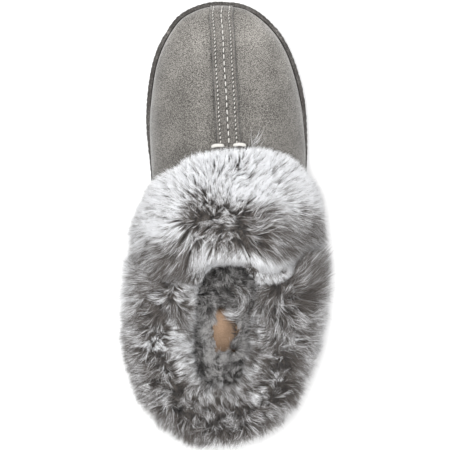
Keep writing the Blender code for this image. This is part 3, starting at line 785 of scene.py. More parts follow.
def make_outsole():
    """Rubber cup sole: knurled wall and rim, grooved tread, and the well the upper sits in."""
    count = 1500
    line = closed_spline(SOLE_OUTLINE, count)
    inward = inward_normals(line)
    length = np.linalg.norm(np.roll(line, -1, axis=0) - line, axis=1).sum()
    arc = np.linspace(0, 1, count, endpoint=False)
    tooth = 0.5 + 0.5 * np.cos(arc * 2 * math.pi * round(length / TOOTH_PITCH))
    tooth = np.clip(tooth * 1.8, 0, 1)
    spine = spine_of(line, -88, 96)
    nick = np.exp(-(np.linalg.norm(line - RIM_NICK, axis=1) / 2.2) ** 2)
    wall, shades = [], []
    for height, inset, knurl in SOLE_WALL:
        spots = raised(line, height)
        rough = 0.07 * waves(spots, 1.6, 5) + 0.06 * waves(spots, 5.0, 6)
        push = inset + knurl * TOOTH_DEPTH * (1 - tooth) + rough * min(knurl + 0.35, 1)
        push += 0.6 * nick * ramp(height, 17, 3) * ramp(inset, 1.6, -1.2)
        wall.append(raised(line + inward * push[:, None], height))
        scuff = 3.5 * nick * np.clip(waves(spots, 1.1, 7), 0, 1) * ramp(height, 17, 3)
        # Painted light: the inner lip of the rim, which lies in shade beside the upper, is painted paler than
        # the outer lip, which catches the light; the scuff at the nick is real wear.
        shades.append(0.9 + 0.45 * ramp(inset, 1.0, 1.0) * ramp(height, 20.2, 0.3) + scuff)
    inner, outer = wall[-1][:, :2], wall[0][:, :2]
    well = [raised(inner + (spine - inner) * f, OUTSOLE_FLOOR) for f in (0.33, 0.66, 1.0)]
    tread = []
    for f in np.concatenate([[0.0, 0.03, 0.06], np.linspace(0.09, 1.0, 34)]):
        flat = outer + (spine - outer) * f
        winding = flat[:, 1] + 3.0 * np.sin(flat[:, 0] * 0.32)
        groove = np.abs((winding / GROOVE_PITCH) % 1.0 - 0.5) * 2
        waist = ramp(np.abs(flat[:, 1] + 22), 22, 6)
        depth = GROOVE_DEPTH * ramp(groove, 0.66, 0.2) * ramp(f, 0.09, 0.04) * waist
        tread.append(raised(flat, depth + {0.0: 1.2, 0.03: 0.35}.get(float(f), 0.0)))
    rings = tread[::-1][:-1] + wall + well
    plain_rings = [np.full(count, 0.9)]
    shade = np.concatenate(plain_rings * (len(tread) - 1) + shades + plain_rings * len(well))
    done(ring_body("outsole_shell", rings, LOOKS["rubber"], shade), "outsole")


def make_cover():
    """The footbed's plush cover, cut to the inside of the upper, with a rounded edge and a soft top."""
    low, high, rounding = FOOTBED_TOP - LINING, FOOTBED_TOP, 1.4
    line = outline(UPPER_INSET + WALL + 1.2, 360)
    spine = spine_of(line, -84, 90)
    rings = [raised(line + (spine - line) * f, low) for f in np.linspace(1, 0.12, 9)]
    for turn in np.linspace(0, math.pi, 9):
        push = (1 - math.sin(turn)) * rounding / np.linalg.norm(spine - line, axis=1)
        height = (low + high) / 2 - (high - low) / 2 * math.cos(turn)
        rings.append(raised(line + (spine - line) * push[:, None], height))
    for f in np.linspace(0.1, 1, 14):
        top = raised(line + (spine - line) * f, high)
        top[:, 2] += (waves(top, 16.0, 31) * 0.25 - 0.3) * smoothstep(f * 3)
        rings.append(top)
    cover = ring_body("footbed_cover_plush", rings, LOOKS["plush_under"])
    done(cover, "footbed_cover")


# ---- upper

def hem_levels(bottom, count=6):
    heights = np.linspace(bottom, EQUATOR, count, endpoint=False)
    return (heights - EQUATOR) / (EQUATOR - UPPER_BOTTOM)


def seam_offset(points):
    """How far points lie to the side of the strip's centre line."""
    x, y = points[..., 0], points[..., 1]
    medial, lateral = sides(y)
    return x - (medial + lateral) / 2 - strip_drift(y)


def vamp_painted_light(points):
    """Painted light and shade on the vamp: pale at the toe where the light falls, partly its own tone, paler
    on the lateral side, darker towards the fur, and a painted shadow in the crease beside the strip.
    """
    y, off = points[..., 1], seam_offset(points)
    toe = ramp(y, 78, 45)
    beside = np.abs(off) - STRIP_HALF_WIDTH
    # Painted light at the toe and on its lateral side, painted shade towards the fur, and a painted shadow in
    # the crease beside the strip; the waves are random tone.
    shade = 0.92 + 0.36 * toe + 0.12 * toe * smoothstep(off / 12) - 0.08 * ramp(y, 70, -20)
    shade = shade - 0.10 * np.exp(-(beside / 3.5) ** 2) - 0.45 * np.exp(-((beside - 0.2) / 0.55) ** 2)
    return shade + 0.05 * waves(points, 16.0, 27)


VAMP_FRONT = TOE_TIP - 0.05
VAMP_SPLIT = 60.0    # in front of this station the rows of the vamp's grid close up towards the toe


def vamp_grid(side, levels, front_steps, rear_steps):
    """One half of the vamp from the toe to the throat."""
    turns = np.linspace(0, math.pi / 2, front_steps)
    front = VAMP_FRONT + (VAMP_SPLIT - VAMP_FRONT) * (1 - np.cos(turns)) ** 0.9
    ends = throat(np.clip(levels, CORNER_LEVEL, 1))
    rear = VAMP_SPLIT + (ends[None, :] - VAMP_SPLIT) * np.linspace(0, 1, rear_steps)[1:, None]
    return np.concatenate([vamp_point(front[:, None], side, levels[None, :]),
                           vamp_point(rear, side, np.broadcast_to(levels, rear.shape))])


def make_lining(node, grid, seed):
    """Plush lining under a grid on the upper. It gives the places and directions of its pile."""
    normals = grid_normals(grid)
    lumps = 0.25 * waves(grid, 3.0, seed)[..., None]
    made = slab(node + "_plush", grid - normals * (LINING_DEPTH + 0.1),
                grid - normals * (WALL - 0.4 + lumps), LOOKS["plush_under"])
    done(made, node)
    return grid - normals * (WALL - 0.6), -normals


def make_vamp():
    """The two suede halves, which meet along the centre, and the lining below them."""
    levels = np.concatenate([hem_levels(UPPER_BOTTOM), np.linspace(0, 1, 64)])
    for name, side in (("vamp_medial", -1), ("vamp_lateral", 1)):
        grid = vamp_grid(side, levels, 70, 60)
        nose = grid[:1].copy()
        nose[..., 0] = sum(sides(VAMP_FRONT)) / 2 + side * VAMP_SEAM
        nose[..., 1] += 0.04
        grid = np.concatenate([nose, grid])
        normals = grid_normals(grid)
        calm = ramp(np.abs(grid[..., 2] - RIM_TOP), 2, 8) * ramp(grid[..., 1], TOE_TIP, -12)
        push = 0.22 * waves(grid, 30.0, 8) + 0.08 * waves(grid, 12.0, 9) - 0.45
        outer = grid + normals * (push * calm)[..., None]
        made = slab(name + "_suede", outer, grid - normals * LEATHER, LOOKS["suede"], vamp_painted_light(outer))
        done(made, name)
    levels = np.concatenate([hem_levels(LINING_BOTTOM), np.linspace(0, 1, 22)])
    halves = [vamp_grid(side, levels, 24, 24) for side in (-1, 1)]
    for half in halves:
        half[:, -1, 0] = sum(sides(half[:, -1, 1])) / 2
    return make_lining("vamp_lining", np.concatenate([halves[0], halves[1][:, -2::-1]], axis=1), 17)


def wall_grid(reaches, bottom, rows):
    spots = wall_spot(reaches)
    station = np.maximum(spots[:, 1], HEEL_CENTRE)
    tops = level_at(station, topline_height(spots[:, 1]))
    levels = np.concatenate([np.tile(hem_levels(bottom), (len(reaches), 1)),
                             tops[:, None] * np.linspace(0, 1, rows)[None, :]], axis=1)
    return wall_point(reaches[:, None], levels)


def make_quarters():
    """The suede quarters and their lining. It gives the lining's places for pile, as make_vamp does."""
    for name, side in (("quarter_medial", -1), ("quarter_lateral", 1)):
        reaches = side * np.linspace(PANEL_GAP, abs(SEAM_REACH[side]) - 2 * PANEL_GAP, 90)
        grid = wall_grid(reaches, UPPER_BOTTOM, 26)
        normals = grid_normals(grid)
        push = 0.2 * waves(grid, 20.0, 12) * ramp(grid[..., 2], 24, 6)
        made = slab(name + "_suede", grid + normals * push[..., None], grid - normals * LEATHER,
                    LOOKS["suede"])
        done(made, name)
    reaches = np.linspace(SEAM_REACH[-1] + 2.0, SEAM_REACH[1] - 2.0, 180)
    return make_lining("quarter_lining", wall_grid(reaches, LINING_BOTTOM, 20), 18)


# ---- strip and threads

STRIP_TOP = STRIP_CLEARANCE + STRIP_THICKNESS
STITCHED = (0.12, 0.955)    # the part of the strip that is stitched
# Each row's stitches: the pitch, the visible length, the thread's radius and its slant.
OUTER_STITCH, CENTRE_STITCH = (2.62, 1.4, 0.27, 0.42), (4.35, 3.1, 0.33, 0.08)
STITCHES = {"stitch_row_medial": OUTER_STITCH, "stitch_row_centre": CENTRE_STITCH,
            "stitch_row_lateral": OUTER_STITCH}


def strip_lift(fraction):
    """Height of the strip's face above the vamp, thinner where it is pulled under at the toe."""
    return STRIP_TOP - 1.15 * ramp(np.asarray(fraction), 0.80, 0.16)


def stitch_spots(offset, pitch, dash):
    """Fractions where each stitch of a row goes down and comes up."""
    fractions = np.linspace(*STITCHED, 900)
    lengths = running(strip_point(offset, fractions, strip_lift(fractions)))
    starts = np.arange(0.6, lengths[-1] - dash, pitch)
    return np.interp(starts, lengths, fractions), np.interp(starts + dash, lengths, fractions)


def tubes(name, node, paths, sizes, angles, squash=1.0):
    """Threads: closed tubes along paths of equal point count, with a radius for each point."""
    tangent = unit(np.gradient(paths, axis=1))
    side = unit(np.cross(tangent, np.array([0.0, 0.0, 1.0])))
    up = np.cross(side, tangent)
    verts = (paths[:, :, None] + side[:, :, None] * (np.cos(angles) * sizes)[..., None]
             + up[:, :, None] * (np.sin(angles) * sizes * squash)[..., None])
    at = np.arange(verts[..., 0].size).reshape(verts.shape[:3])
    caps = np.concatenate([at[:, 0, ::-1], at[:, -1]])
    made = make_mesh(name, verts.reshape(-1, 3), [ring_quads(*verts.shape[:3]), caps], LOOKS["thread"])
    done(made, node)


def make_strip():
    """The strip with its folded edges, and a furrow and holes under each row of stitches."""
    rows, across = 520, 71
    offsets = np.linspace(-STRIP_HALF_WIDTH, STRIP_HALF_WIDTH, across)[None, :]
    fractions = np.linspace(0, 0.972, rows)
    lift = np.broadcast_to(strip_lift(fractions)[:, None], (rows, across))
    grid = strip_point(offsets, fractions[:, None], lift)
    edge, y = np.abs(offsets), grid[..., 1]
    ridge = 0.22 * np.exp(-((edge - 6.05) / 0.45) ** 2)
    push = ridge - 1.15 * ramp(edge, 6.35, 0.65) ** 1.5 + 0.10 * waves(grid, 7.0, 3)
    # Painted light and shade on the strip: paler towards the toe, darker towards the fur, a painted highlight
    # on the medial edge's ridge, dark edges that are partly the cut edge's own colour and partly painted
    # shadow, and painted shade in the furrows and stitch holes.
    shade = 0.91 + 0.26 * ramp(y, 85, 40) - 0.08 * ramp(y, 70, -20)
    shade += 0.5 * ridge * (offsets < 0) - 0.45 * ramp(edge, 6.45, 0.4)
    for name, (pitch, dash, _, _) in STITCHES.items():
        row = ROWS[name]
        furrow = np.exp(-((offsets - row) / 0.6) ** 2)
        push = push - 0.28 * furrow
        shade = shade - 0.2 * furrow
        for spot in np.concatenate(stitch_spots(row, pitch, dash)):
            near = int(round(spot / (fractions[1] - fractions[0])))
            some = slice(max(near - 5, 0), near + 6)
            there = strip_point(row, spot, strip_lift(spot))
            hole = np.exp(-(np.linalg.norm(grid[some] - there, axis=-1) / 0.36) ** 2)
            push[some] -= 0.55 * hole
            shade[some] -= 0.6 * hole
    normals = grid_normals(grid)
    made = slab("centre_strip_suede", grid + normals * push[..., None],
                grid - normals * (lift + 0.2)[..., None], LOOKS["strip"], np.maximum(shade, 0.12))
    done(made, "centre_strip")


def make_stitches():
    """Single stitches, each an arch of twisted thread whose ends go into the strip."""
    share = np.linspace(0, 1, 9)
    ends = np.abs(2 * share - 1)
    arch = 0.42 * np.sqrt(np.maximum(1 - ends ** 4, 0)) - 0.35 * (ends > 0.99)
    swell = np.sqrt(np.maximum(1 - ends ** 6, 0.02))
    angles = np.linspace(0, 2 * math.pi, 8, endpoint=False)
    twist = 1 + 0.12 * np.cos(2 * angles[None, :] + share[:, None] * 40.0)
    for name, (pitch, dash, radius, slant) in STITCHES.items():
        downs, ups = stitch_spots(ROWS[name], pitch, dash)
        rng = np.random.default_rng(len(name) + int(ROWS[name]))
        slants = slant + rng.normal(0, 0.06, len(downs))
        where = downs[:, None] + (ups - downs)[:, None] * share
        offsets = ROWS[name] + slants[:, None] * (share - 0.5)
        paths = strip_point(offsets, where, strip_lift(where) - 0.28 + arch)
        tubes(name + "_thread", name, paths, radius * swell[:, None] * twist, angles)


def make_tacks():
    """Two bar tacks: a thick bar of thread, wrapped round and round."""
    fraction = 2 / math.pi * math.asin((TACK_STATION - STRIP_REAR) / (TOE_TIP - STRIP_REAR))
    share = np.linspace(-1, 1, 120)
    angles = np.linspace(0, 2 * math.pi, 16, endpoint=False)
    radius = TACK_RADIUS * np.sqrt(np.maximum(1 - np.abs(share) ** 5, 0.02))
    sizes = radius[:, None] * (1 + 0.09 * np.cos(share[:, None] * 17 * math.pi + angles[None, :]))
    for name, middle in TACKS.items():
        lateral = middle > 0
        lift = STRIP_TOP + 1.0 - 0.9 * share ** 2 - (0.2 if lateral else 0.5) * share ** 6
        path = strip_point(middle + share * TACK_LENGTH / 2, fraction, lift)
        path[:, 1] += 0.55 * (1 - share ** 2) if lateral else -0.9 * smoothstep(-share) * share ** 2
        tubes(name + "_thread", name, path[None], sizes, angles, 0.8)


# ---- fur

STEPS = np.array([0.0, 0.36, 0.7, 1.0])     # rings of a strand along its length
TRIANGLES_PER_PIECE = 190000
FRONT_TUFTS, REAR_TUFTS = 9500, 12500
CUFF_STRANDS, PLUSH_STRANDS = 9, 8    # strands in each tuft
CORE_SHARE = 0.42    # how much of the pile's depth the cuff's padded body takes
TUFTS_PER_LOCK = {"front": 9, "rear": 11}
PARTING = np.array([-13.0, 5.0]), np.array([9.0, -4.0])    # ends of the line that the instep's pile leaves
# Middle and size of the place beside the opening where the rear pile springs out all round.
FOUNTAIN, FOUNTAIN_SIZE = np.array([44.0, -36.0]), np.array([12.0, 13.0])


def lock_of(base, locks, rng):
    """Which lock of fur each tuft belongs to, and the way to that lock's middle."""
    middles = base[rng.choice(len(base), locks, replace=False)]
    which = np.concatenate([np.linalg.norm(some[:, None] - middles[None], axis=-1).argmin(axis=1)
                            for some in np.array_split(base, 20)])
    return which, middles[which] - base


def bilinear(grid, u, v):
    """Points of a grid at parameters from 0 to 1 along its rows and across them."""
    rows, across = grid.shape[:2]
    x, y = np.clip(u, 0, 1) * (rows - 1), np.clip(v, 0, 1) * (across - 1)
    i, j = np.minimum(x.astype(int), rows - 2), np.minimum(y.astype(int), across - 2)
    fx, fy = (x - i)[:, None], (y - j)[:, None]
    return ((grid[i, j] * (1 - fx) + grid[i + 1, j] * fx) * (1 - fy)
            + (grid[i, j + 1] * (1 - fx) + grid[i + 1, j + 1] * fx) * fy)


def scatter(grid, count, rng):
    """Random grid parameters, spread evenly over its area."""
    rows, across = grid.shape[:2]
    a = grid[1:, :-1] - grid[:-1, :-1]
    b = grid[:-1, 1:] - grid[:-1, :-1]
    area = np.linalg.norm(np.cross(a, b), axis=-1)
    pick = rng.choice(area.size, count, p=(area / area.sum()).ravel())
    i, j = np.unravel_index(pick, area.shape)
    return (i + rng.random(count)) / (rows - 1), (j + rng.random(count)) / (across - 1)


def strand_faces(rings):
    """Triangles of one three-sided strand: its root, its sides and its tip."""
    faces = [(2, 1, 0)]
    for ring in range(rings):
        for k in range(3):
            p, q = ring * 3 + k, ring * 3 + (k + 1) % 3
            faces += [(p, q, q + 3), (p, q + 3, p + 3)] if ring < rings - 1 else [(p, q, rings * 3)]
    return np.array(faces)


def make_strands(name, node, paths, widths, frost, look):
    """Tapered strands as closed meshes, split so that no piece is too large."""
    rings = len(STEPS) - 1
    taper = 1 - 0.75 * STEPS[:-1] ** 1.6
    rng = np.random.default_rng(len(name))
    span = unit(paths[:, -1] - paths[:, 0])
    a = unit(np.cross(span, unit(rng.normal(size=span.shape))))
    b = np.cross(span, a)
    angles = np.array([0, 2, 4]) * math.pi / 3
    spokes = a[:, None] * np.cos(angles)[None, :, None] + b[:, None] * np.sin(angles)[None, :, None]
    sides_of = paths[:, :-1, None] + spokes[:, None] * (widths[:, None] * taper)[..., None, None]
    verts = np.concatenate([sides_of.reshape(len(paths), -1, 3), paths[:, -1:]], axis=1)
    faces = strand_faces(rings)
    across = np.append(np.tile([-0.004, 0.0, 0.004], rings), 0.0)
    u = np.clip(frost, 0.02, 0.98)[:, None] + across
    v = np.append(np.repeat(STEPS[:-1], 3), 1.0) * 0.98 + 0.01
    uv = np.stack([u, np.broadcast_to(v, u.shape)], axis=-1)
    together = TRIANGLES_PER_PIECE // len(faces)
    for number, start in enumerate(range(0, len(paths), together)):
        some = slice(start, start + together)
        first = np.arange(len(verts[some])) * verts.shape[1]
        index = (faces[None] + first[:, None, None]).reshape(-1, 3)
        made = make_mesh(f"{name}_{number + 1}", verts[some].reshape(-1, 3), [index], LOOKS[look],
                         uv[some].reshape(-1, 2))
        done(made, node)


def tuft_paths(base, out, style, strands, seed, limits=()):
    """Strand paths in tufts, and their frost. Style holds each tuft's flow, leans, length and so on."""
    rng = np.random.default_rng(seed)
    tuft_radius, clump, spread = style["tuft"]
    tufts = len(base)
    flow = unit(style["flow"] - out * np.sum(style["flow"] * out, axis=1, keepdims=True))
    first = unit(out + flow * style["root"][:, None] + rng.normal(0, 0.10, (tufts, 3)))
    last = unit(out + flow * style["tip"][:, None] + rng.normal(0, 0.2, (tufts, 3)))
    which = np.repeat(np.arange(tufts), strands)
    many = len(which)
    across, first, last = unit(np.cross(out, flow))[which], first[which], last[which]
    turn = rng.uniform(0, 2 * math.pi, many)
    away = tuft_radius * np.sqrt(rng.random(many))
    offset = (flow[which] * np.cos(turn)[:, None] + across * np.sin(turn)[:, None]) * away[:, None]
    reach = style["length"][which] * (1.04 - 0.42 * rng.random(many) ** 1.6)
    stray = rng.normal(0, spread, (many, 3)) * reach[:, None]
    curl = style["curl"] * rng.uniform(0.6, 1.4, many)
    phase = style["phase"][which] + rng.normal(0, 0.5, many)
    gather = style["gather"][which]
    root = base[which] + offset - out[which] * 0.8
    for limit in limits:
        tip = root + reach[:, None] * (first + last) / 2 + gather
        reach = reach * limit(root, tip, rng)
    points = []
    for t in STEPS:
        point = (root - offset * (clump * t ** 0.7) + stray * t ** 1.6 + gather * t ** 1.3
                 + reach[:, None] * (first * (t - t * t / 2) + last * (t * t / 2)))
        wave = curl * reach * (np.sin(phase + t * 4.2) - np.sin(phase)) * t
        points.append(point + across * wave[:, None])
    frost = style["frost"][which] + rng.normal(0, style["grain"], many)
    return np.stack(points, axis=1), frost


def above_upper(paths, clear=0.4):
    """Keeps strands in front of the throat clear of the vamp."""
    x, y, z = (paths[..., k] for k in range(3))
    medial, lateral = sides(y)
    height, middle = crest(x - (medial + lateral) / 2, np.minimum(y, TOE_TIP - 1))
    over = (y > THROAT) & (np.abs(x - middle) < (lateral - medial) / 2 + bulge(y) - 0.5)
    paths[..., 2] = np.where(over, np.maximum(z, height + clear), z)
    paths[..., 2] = np.maximum(paths[..., 2], RIM_TOP + 1.5)
    return paths


def front_style(base, out, v, rng):
    """Instep cuff: the pile parts from a short line over the instep and fans out all round.

    Frost runs from 0, a dark strand, to 1, a white one. V runs from the cuff's inner edge, over the top
    of the upper, to its low outer edge.
    """
    count = len(base)
    x, y = base[:, 0], base[:, 1]
    a, b = PARTING
    along = np.clip(((base[:, :2] - a) @ (b - a)) / ((b - a) @ (b - a)), 0, 1)
    away = base[:, :2] - (a + along[:, None] * (b - a))
    far = np.linalg.norm(away, axis=1)
    lock, gather = lock_of(base, count // TUFTS_PER_LOCK["front"], rng)
    # Shares from 0 to 1: right is the flap's lateral end, and behind is its inner, hanging side.
    right = ramp(x, 2, 16) * ramp(y, 14, -14)
    behind = ramp(v, 0.36, -0.1)
    flow = raised(unit(away), -0.25) + right[:, None] * np.array([0.1, -0.75, 0.0])
    rear = coords(x * 0.012, -1.0, -0.25)
    flow = flow * (1 - behind[:, None]) + rear * behind[:, None]
    # Close to the parting, the locks stand up and turn every way.
    close = 1 - ramp(far, 3, 12)
    turn = 0.26 * waves(base, 13.0, 41) + 0.12 * waves(base, 5.0, 42) + rng.normal(0, 0.17, count)[lock]
    flow = spin(flow, out, turn * (1 - 0.6 * right) + close * rng.normal(0, 1.1, count)[lock])
    # Back is the rear of the flap, where the pile is long and dark, and pale along its fringed edge.
    back = np.maximum(right, ramp(y, -4, -8) * (1 - 0.5 * ramp(x, -24, -12)))
    fringed = ramp(x, -22, 8)
    length = 13.5 + waves(base, 7.0, 43) + 7.5 * back - 4.5 * close * (1 - 0.6 * back)
    length = length * (1 - 0.25 * behind) * (1 - 0.25 * ramp(v, 0.85, 0.15))
    reach = base[:, :2] + unit(flow)[:, :2] * length[:, None] * 0.8
    edge = np.interp(reach[:, 0], *zip(*FLAP_EDGE))
    at_edge = 1 - ramp(reach[:, 1] - edge, 0.5, 3.2)
    frost = 0.22 + 0.73 * ramp(far, 4, 12)
    frost += 0.07 * ramp(y, 14, 10) - 0.1 * ramp(x, -18, -16)
    frost = frost * (1 - back) + (0.13 + 0.62 * at_edge * fringed) * back
    frost = frost * (1 - 0.6 * ramp(y, 4, -26) * (1 - fringed) * (1 - ramp(x, -44, -10)))
    frost = np.maximum(frost, 0.72 * behind * fringed)
    frost += 0.05 * waves(base, 6.0, 44) + rng.normal(0, 0.07, count)[lock]
    frost += rng.normal(0, 0.2, count) * (1 - 0.5 * close)
    # Dark flecks all over, most of them on the medial and the lateral side.
    to_right = ramp(x, 14, 14) * (1 - back)
    flecks = 0.1 + 0.17 * ramp(x, -8, -12) + 0.14 * to_right
    frost -= 0.07 * to_right + 0.45 * (rng.random(count) < flecks)
    return {"flow": flow, "root": 0.35 + 0.1 * close + 0.75 * back, "tip": 1.0 + 0.3 * close + 1.6 * back,
            "length": length, "frost": frost, "gather": gather * 0.14, "grain": 0.1,
            "curl": 0.04, "tuft": (0.85, 0.8, 0.045)}


def rear_style(base, out, v, rng):
    """Side and heel cuff: locks that fall into the opening, outwards, and every other way."""
    count = len(base)
    x, y = base[:, 0], base[:, 1]
    lock, gather = lock_of(base, count // TUFTS_PER_LOCK["rear"], rng)
    outward = raised(unit(base[:, :2] - coords(-1.5, np.clip(y, -72, 0))), -0.35)
    # Inner is 1 for the locks that fall into the opening, and 0 for those that lie outwards.
    parting = 0.34 + 0.07 * waves(base, 15.0, 56) + rng.normal(0, 0.03, count)[lock]
    inner = ramp(v, parting, -0.06)
    flow = outward * (1 - 2 * inner[:, None])
    flow[:, 2] = -0.35
    backwards = np.array([0.0, -0.55, 0.0])
    flow = flow + backwards * (1 - inner[:, None]) * ramp(y, -95, 40)[:, None]
    turn = 0.55 * waves(base, 17.0, 51) + 0.3 * waves(base, 6.0, 52) + rng.normal(0, 0.55, count)[lock]
    flow = spin(flow, out, turn * (1 - 0.5 * inner))
    # Round one point, longer locks fan out like a fountain.
    apart = base[:, :2] - FOUNTAIN
    fountain = np.exp(-((apart / FOUNTAIN_SIZE) ** 2).sum(axis=1)) * (1 - inner)
    fan = coords(apart[:, 0], apart[:, 1] + 10, -3.0)
    flow = flow * (1 - fountain[:, None]) + unit(fan) * fountain[:, None] * 1.3
    tip = 1.0 + 0.4 * inner + 1.6 * fountain + 0.5 * waves(base, 11.0, 53) + rng.normal(0, 0.4, count)[lock]
    length = 16.0 + 1.6 * waves(base, 8.0, 54) + rng.normal(0, 1.6, count)[lock] + 6.0 * fountain
    length = length * (1 - 0.42 * inner) * (1 - 0.12 * ramp(v, 0.85, 0.15))
    frost = 0.03 + 0.12 * waves(base, 8.0, 55) + rng.normal(0, 0.14, count)[lock] + rng.normal(0, 0.27, count)
    # More contrast at the sides. Paler in the opening, along the low outer edge and at both sides.
    frost += rng.normal(0, 0.28, count) * ramp(np.abs(x), 36, 10)
    frost += 0.16 * inner - 0.12 * fountain + 0.3 * inner * (x < 0) * ramp(y, -100, 10)
    frost += 0.5 * ramp(v, 0.66, 0.2) * ramp(y, -105, 30)
    frost += 0.5 * ramp(x, -44, -10) * ramp(y, -80, 45)
    frost += 0.6 * ramp(x, 41, 10) * ramp(y, -45, -12)
    return {"flow": flow, "root": 0.35 + 0.25 * inner + 0.8 * fountain, "tip": np.maximum(tip, 0.2),
            "length": length, "frost": frost, "gather": gather * 0.36 * (1 - 0.7 * fountain[:, None]),
            "grain": 0.1, "curl": 0.075, "tuft": (0.95, 0.66, 0.075)}


def spin(flow, axis, angle):
    """Vectors turned about unit axes."""
    flow = flow - axis * np.sum(flow * axis, axis=1, keepdims=True)
    return flow * np.cos(angle)[:, None] + np.cross(axis, flow) * np.sin(angle)[:, None]


def make_cuff(node, grids, style_of, tufts, seed, limits):
    """A cuff's padded body, and its pile from the body's face outwards."""
    back, face = grids
    rows, across = (np.linspace(0, 1, count) for count in back.shape[:2])
    ends = ramp(np.minimum(rows, 1 - rows), 0, 0.03)[:, None] * ramp(across, 1, -0.14)[None, :]
    thick = CORE_SHARE * (0.06 + 0.94 * ends)
    middle = back + (face - back) * thick[..., None]
    lumps = (face - back) * (0.05 * waves(middle, 4.0, seed) - 0.04)[..., None] * ends[..., None]
    body = slab(node + "_core", middle + lumps, back, LOOKS["under"])
    done(body, node)
    rng = np.random.default_rng(seed)
    u, v = scatter(middle, tufts, rng)
    base = bilinear(middle, u, v)
    within = PILE_EDGE.radius(base) > PILE_EDGE.distance(base) + 1.0
    u, v, base = u[within], v[within], base[within]
    out = unit(bilinear(face, u, v) - bilinear(back, u, v))
    style = style_of(base, out, v, rng)
    style["phase"] = rng.uniform(0, 6.3, len(base))
    paths, frost = tuft_paths(base, out, style, CUFF_STRANDS, seed + 1, limits)
    rng = np.random.default_rng(seed + 2)
    stray = rng.random(len(paths)) < 0.17
    widths = np.where(stray, rng.uniform(0.10, 0.15, len(paths)), rng.uniform(0.06, 0.12, len(paths)))
    make_strands(node + "_pile", node, above_upper(paths), widths, frost + 0.4 * stray, "fur")


def make_cuffs():
    """Both cuffs, with their pile kept inside its outline and off the opening, and the loose hairs."""
    front = cuff_grids([front_section(*section) for section in FRONT_SECTIONS], CUFF_ALONG["front"])
    shares = np.linspace(-1, 1, REAR_SECTIONS)
    rear = cuff_grids([rear_section(share) for share in shares], CUFF_ALONG["rear"])
    make_cuff("cuff_front", front, front_style, FRONT_TUFTS, 61,
              (within_pile, off_flap, keep_off(OPENING_EDGE, 0.8)))
    make_cuff("cuff_side_heel", rear, rear_style, REAR_TUFTS, 71, (within_pile, keep_off(OPENING_EDGE, 1.9)))
    make_wisps()


WISPS, WISP_START = 18, (15.5, 43.0)
WISP_SPREAD, WISP_DEPTH = 1.3, 3.0    # how far the hairs' roots lie from the start, across and forwards


def make_wisps():
    """A few loose white hairs that fan out over the vamp from the front of the cuff."""
    rng = np.random.default_rng(77)
    count = WISPS
    x, y = WISP_START
    root = coords(x + rng.normal(0, WISP_SPREAD, count), y + rng.uniform(0, WISP_DEPTH, count))
    turn = rng.uniform(-0.1, 0.65, count)
    way = coords(np.sin(turn), np.cos(turn))
    reach = rng.uniform(9, 16, count)[:, None]
    bend = coords(-way[:, 1], way[:, 0]) * rng.normal(-0.12, 0.12, count)[:, None]
    lift = rng.uniform(0.3, 0.9, count)
    points = []
    for t in STEPS:
        flat = root + (way * t + bend * t * t) * reach
        low = crest(flat[:, 0] - sum(sides(flat[:, 1])) / 2, flat[:, 1])[0]
        points.append(raised(flat, low + lift * (1.3 - 0.9 * t)))
    paths, widths = np.stack(points, axis=1), rng.uniform(0.045, 0.065, count)
    make_strands("cuff_front_wisps", "cuff_front", paths, widths, np.ones(count), "fur")


# ---- inside

SWIRL, SWIRL_RADIUS, SWIRL_HAIRS = np.array([2.8, -47.5]), 8.0, 800
PATCH_MIDDLE, PATCH_HALF = np.array([-1.0, -64.0]), np.array([11.3, 16.8])
PATCH_PALE = np.array([-3.5, -60.0])
PATCH_HAIRS, PATCH_HAIRS_X, PATCH_HAIRS_Y = 90, 6.2, (-76, -56)
FOOTBED_TUFTS, PATCH_TUFTS, CORNER_TUFTS = 6200, 1500, 250
# Paler and darker spots of the inner pile: (x, station, half width, half length, how much paler). The dark
# ones at the opening's front corners, along its front edge and just in front of the patch are painted shadow
# under the cuff's edge.
PILE_TONE_AND_SHADOW = [
    (-12, -60, 5, 15, 0.25), (-14, -69, 3, 3.5, -0.5), (-16, -84, 3, 4, -0.5), (-11, -31, 4.5, 5, -0.35),
    (14, -34, 4, 8, -0.4), (0, -32, 14, 7, -0.12), (11, -68, 4, 8, 0.2), (-2, -86, 7, 3, 0.2),
    (-2, -46, 6.5, 5.5, -0.55),
]


def make_plush(name, node, base, out, seed, length, toward):
    """Short curly pile on the inside, kept off the open part of the patch."""
    rng = np.random.default_rng(seed)
    count = len(base)
    flow = toward + 0.7 * np.stack([waves(base, 9.0, seed + k) for k in range(3)], axis=-1)
    style = {"flow": flow, "gather": np.zeros((count, 3)), "root": rng.uniform(0.3, 1.0, count),
             "tip": rng.uniform(0.8, 2.4, count), "length": length * rng.uniform(0.7, 1.3, count),
             "curl": 0.12, "phase": rng.uniform(0, 6.3, count), "grain": 0.2,
             "frost": 0.43 + 0.2 * waves(base, 4.0, seed + 5) + rng.normal(0, 0.38, count),
             "tuft": (0.85, 0.75, 0.10)}
    for x, y, wide, long, paler in PILE_TONE_AND_SHADOW:
        style["frost"] += paler * np.exp(-((base[:, 0] - x) / wide) ** 2 - ((base[:, 1] - y) / long) ** 2)
    paths, frost = tuft_paths(base, out, style, PLUSH_STRANDS, seed + 1, [keep_off(WINDOW_EDGE, 0.5)])
    paths[..., 2] = np.maximum(paths[..., 2], FOOTBED_TOP + 0.2)
    make_strands(name, node, paths, rng.uniform(0.07, 0.13, len(paths)), frost, "plush")


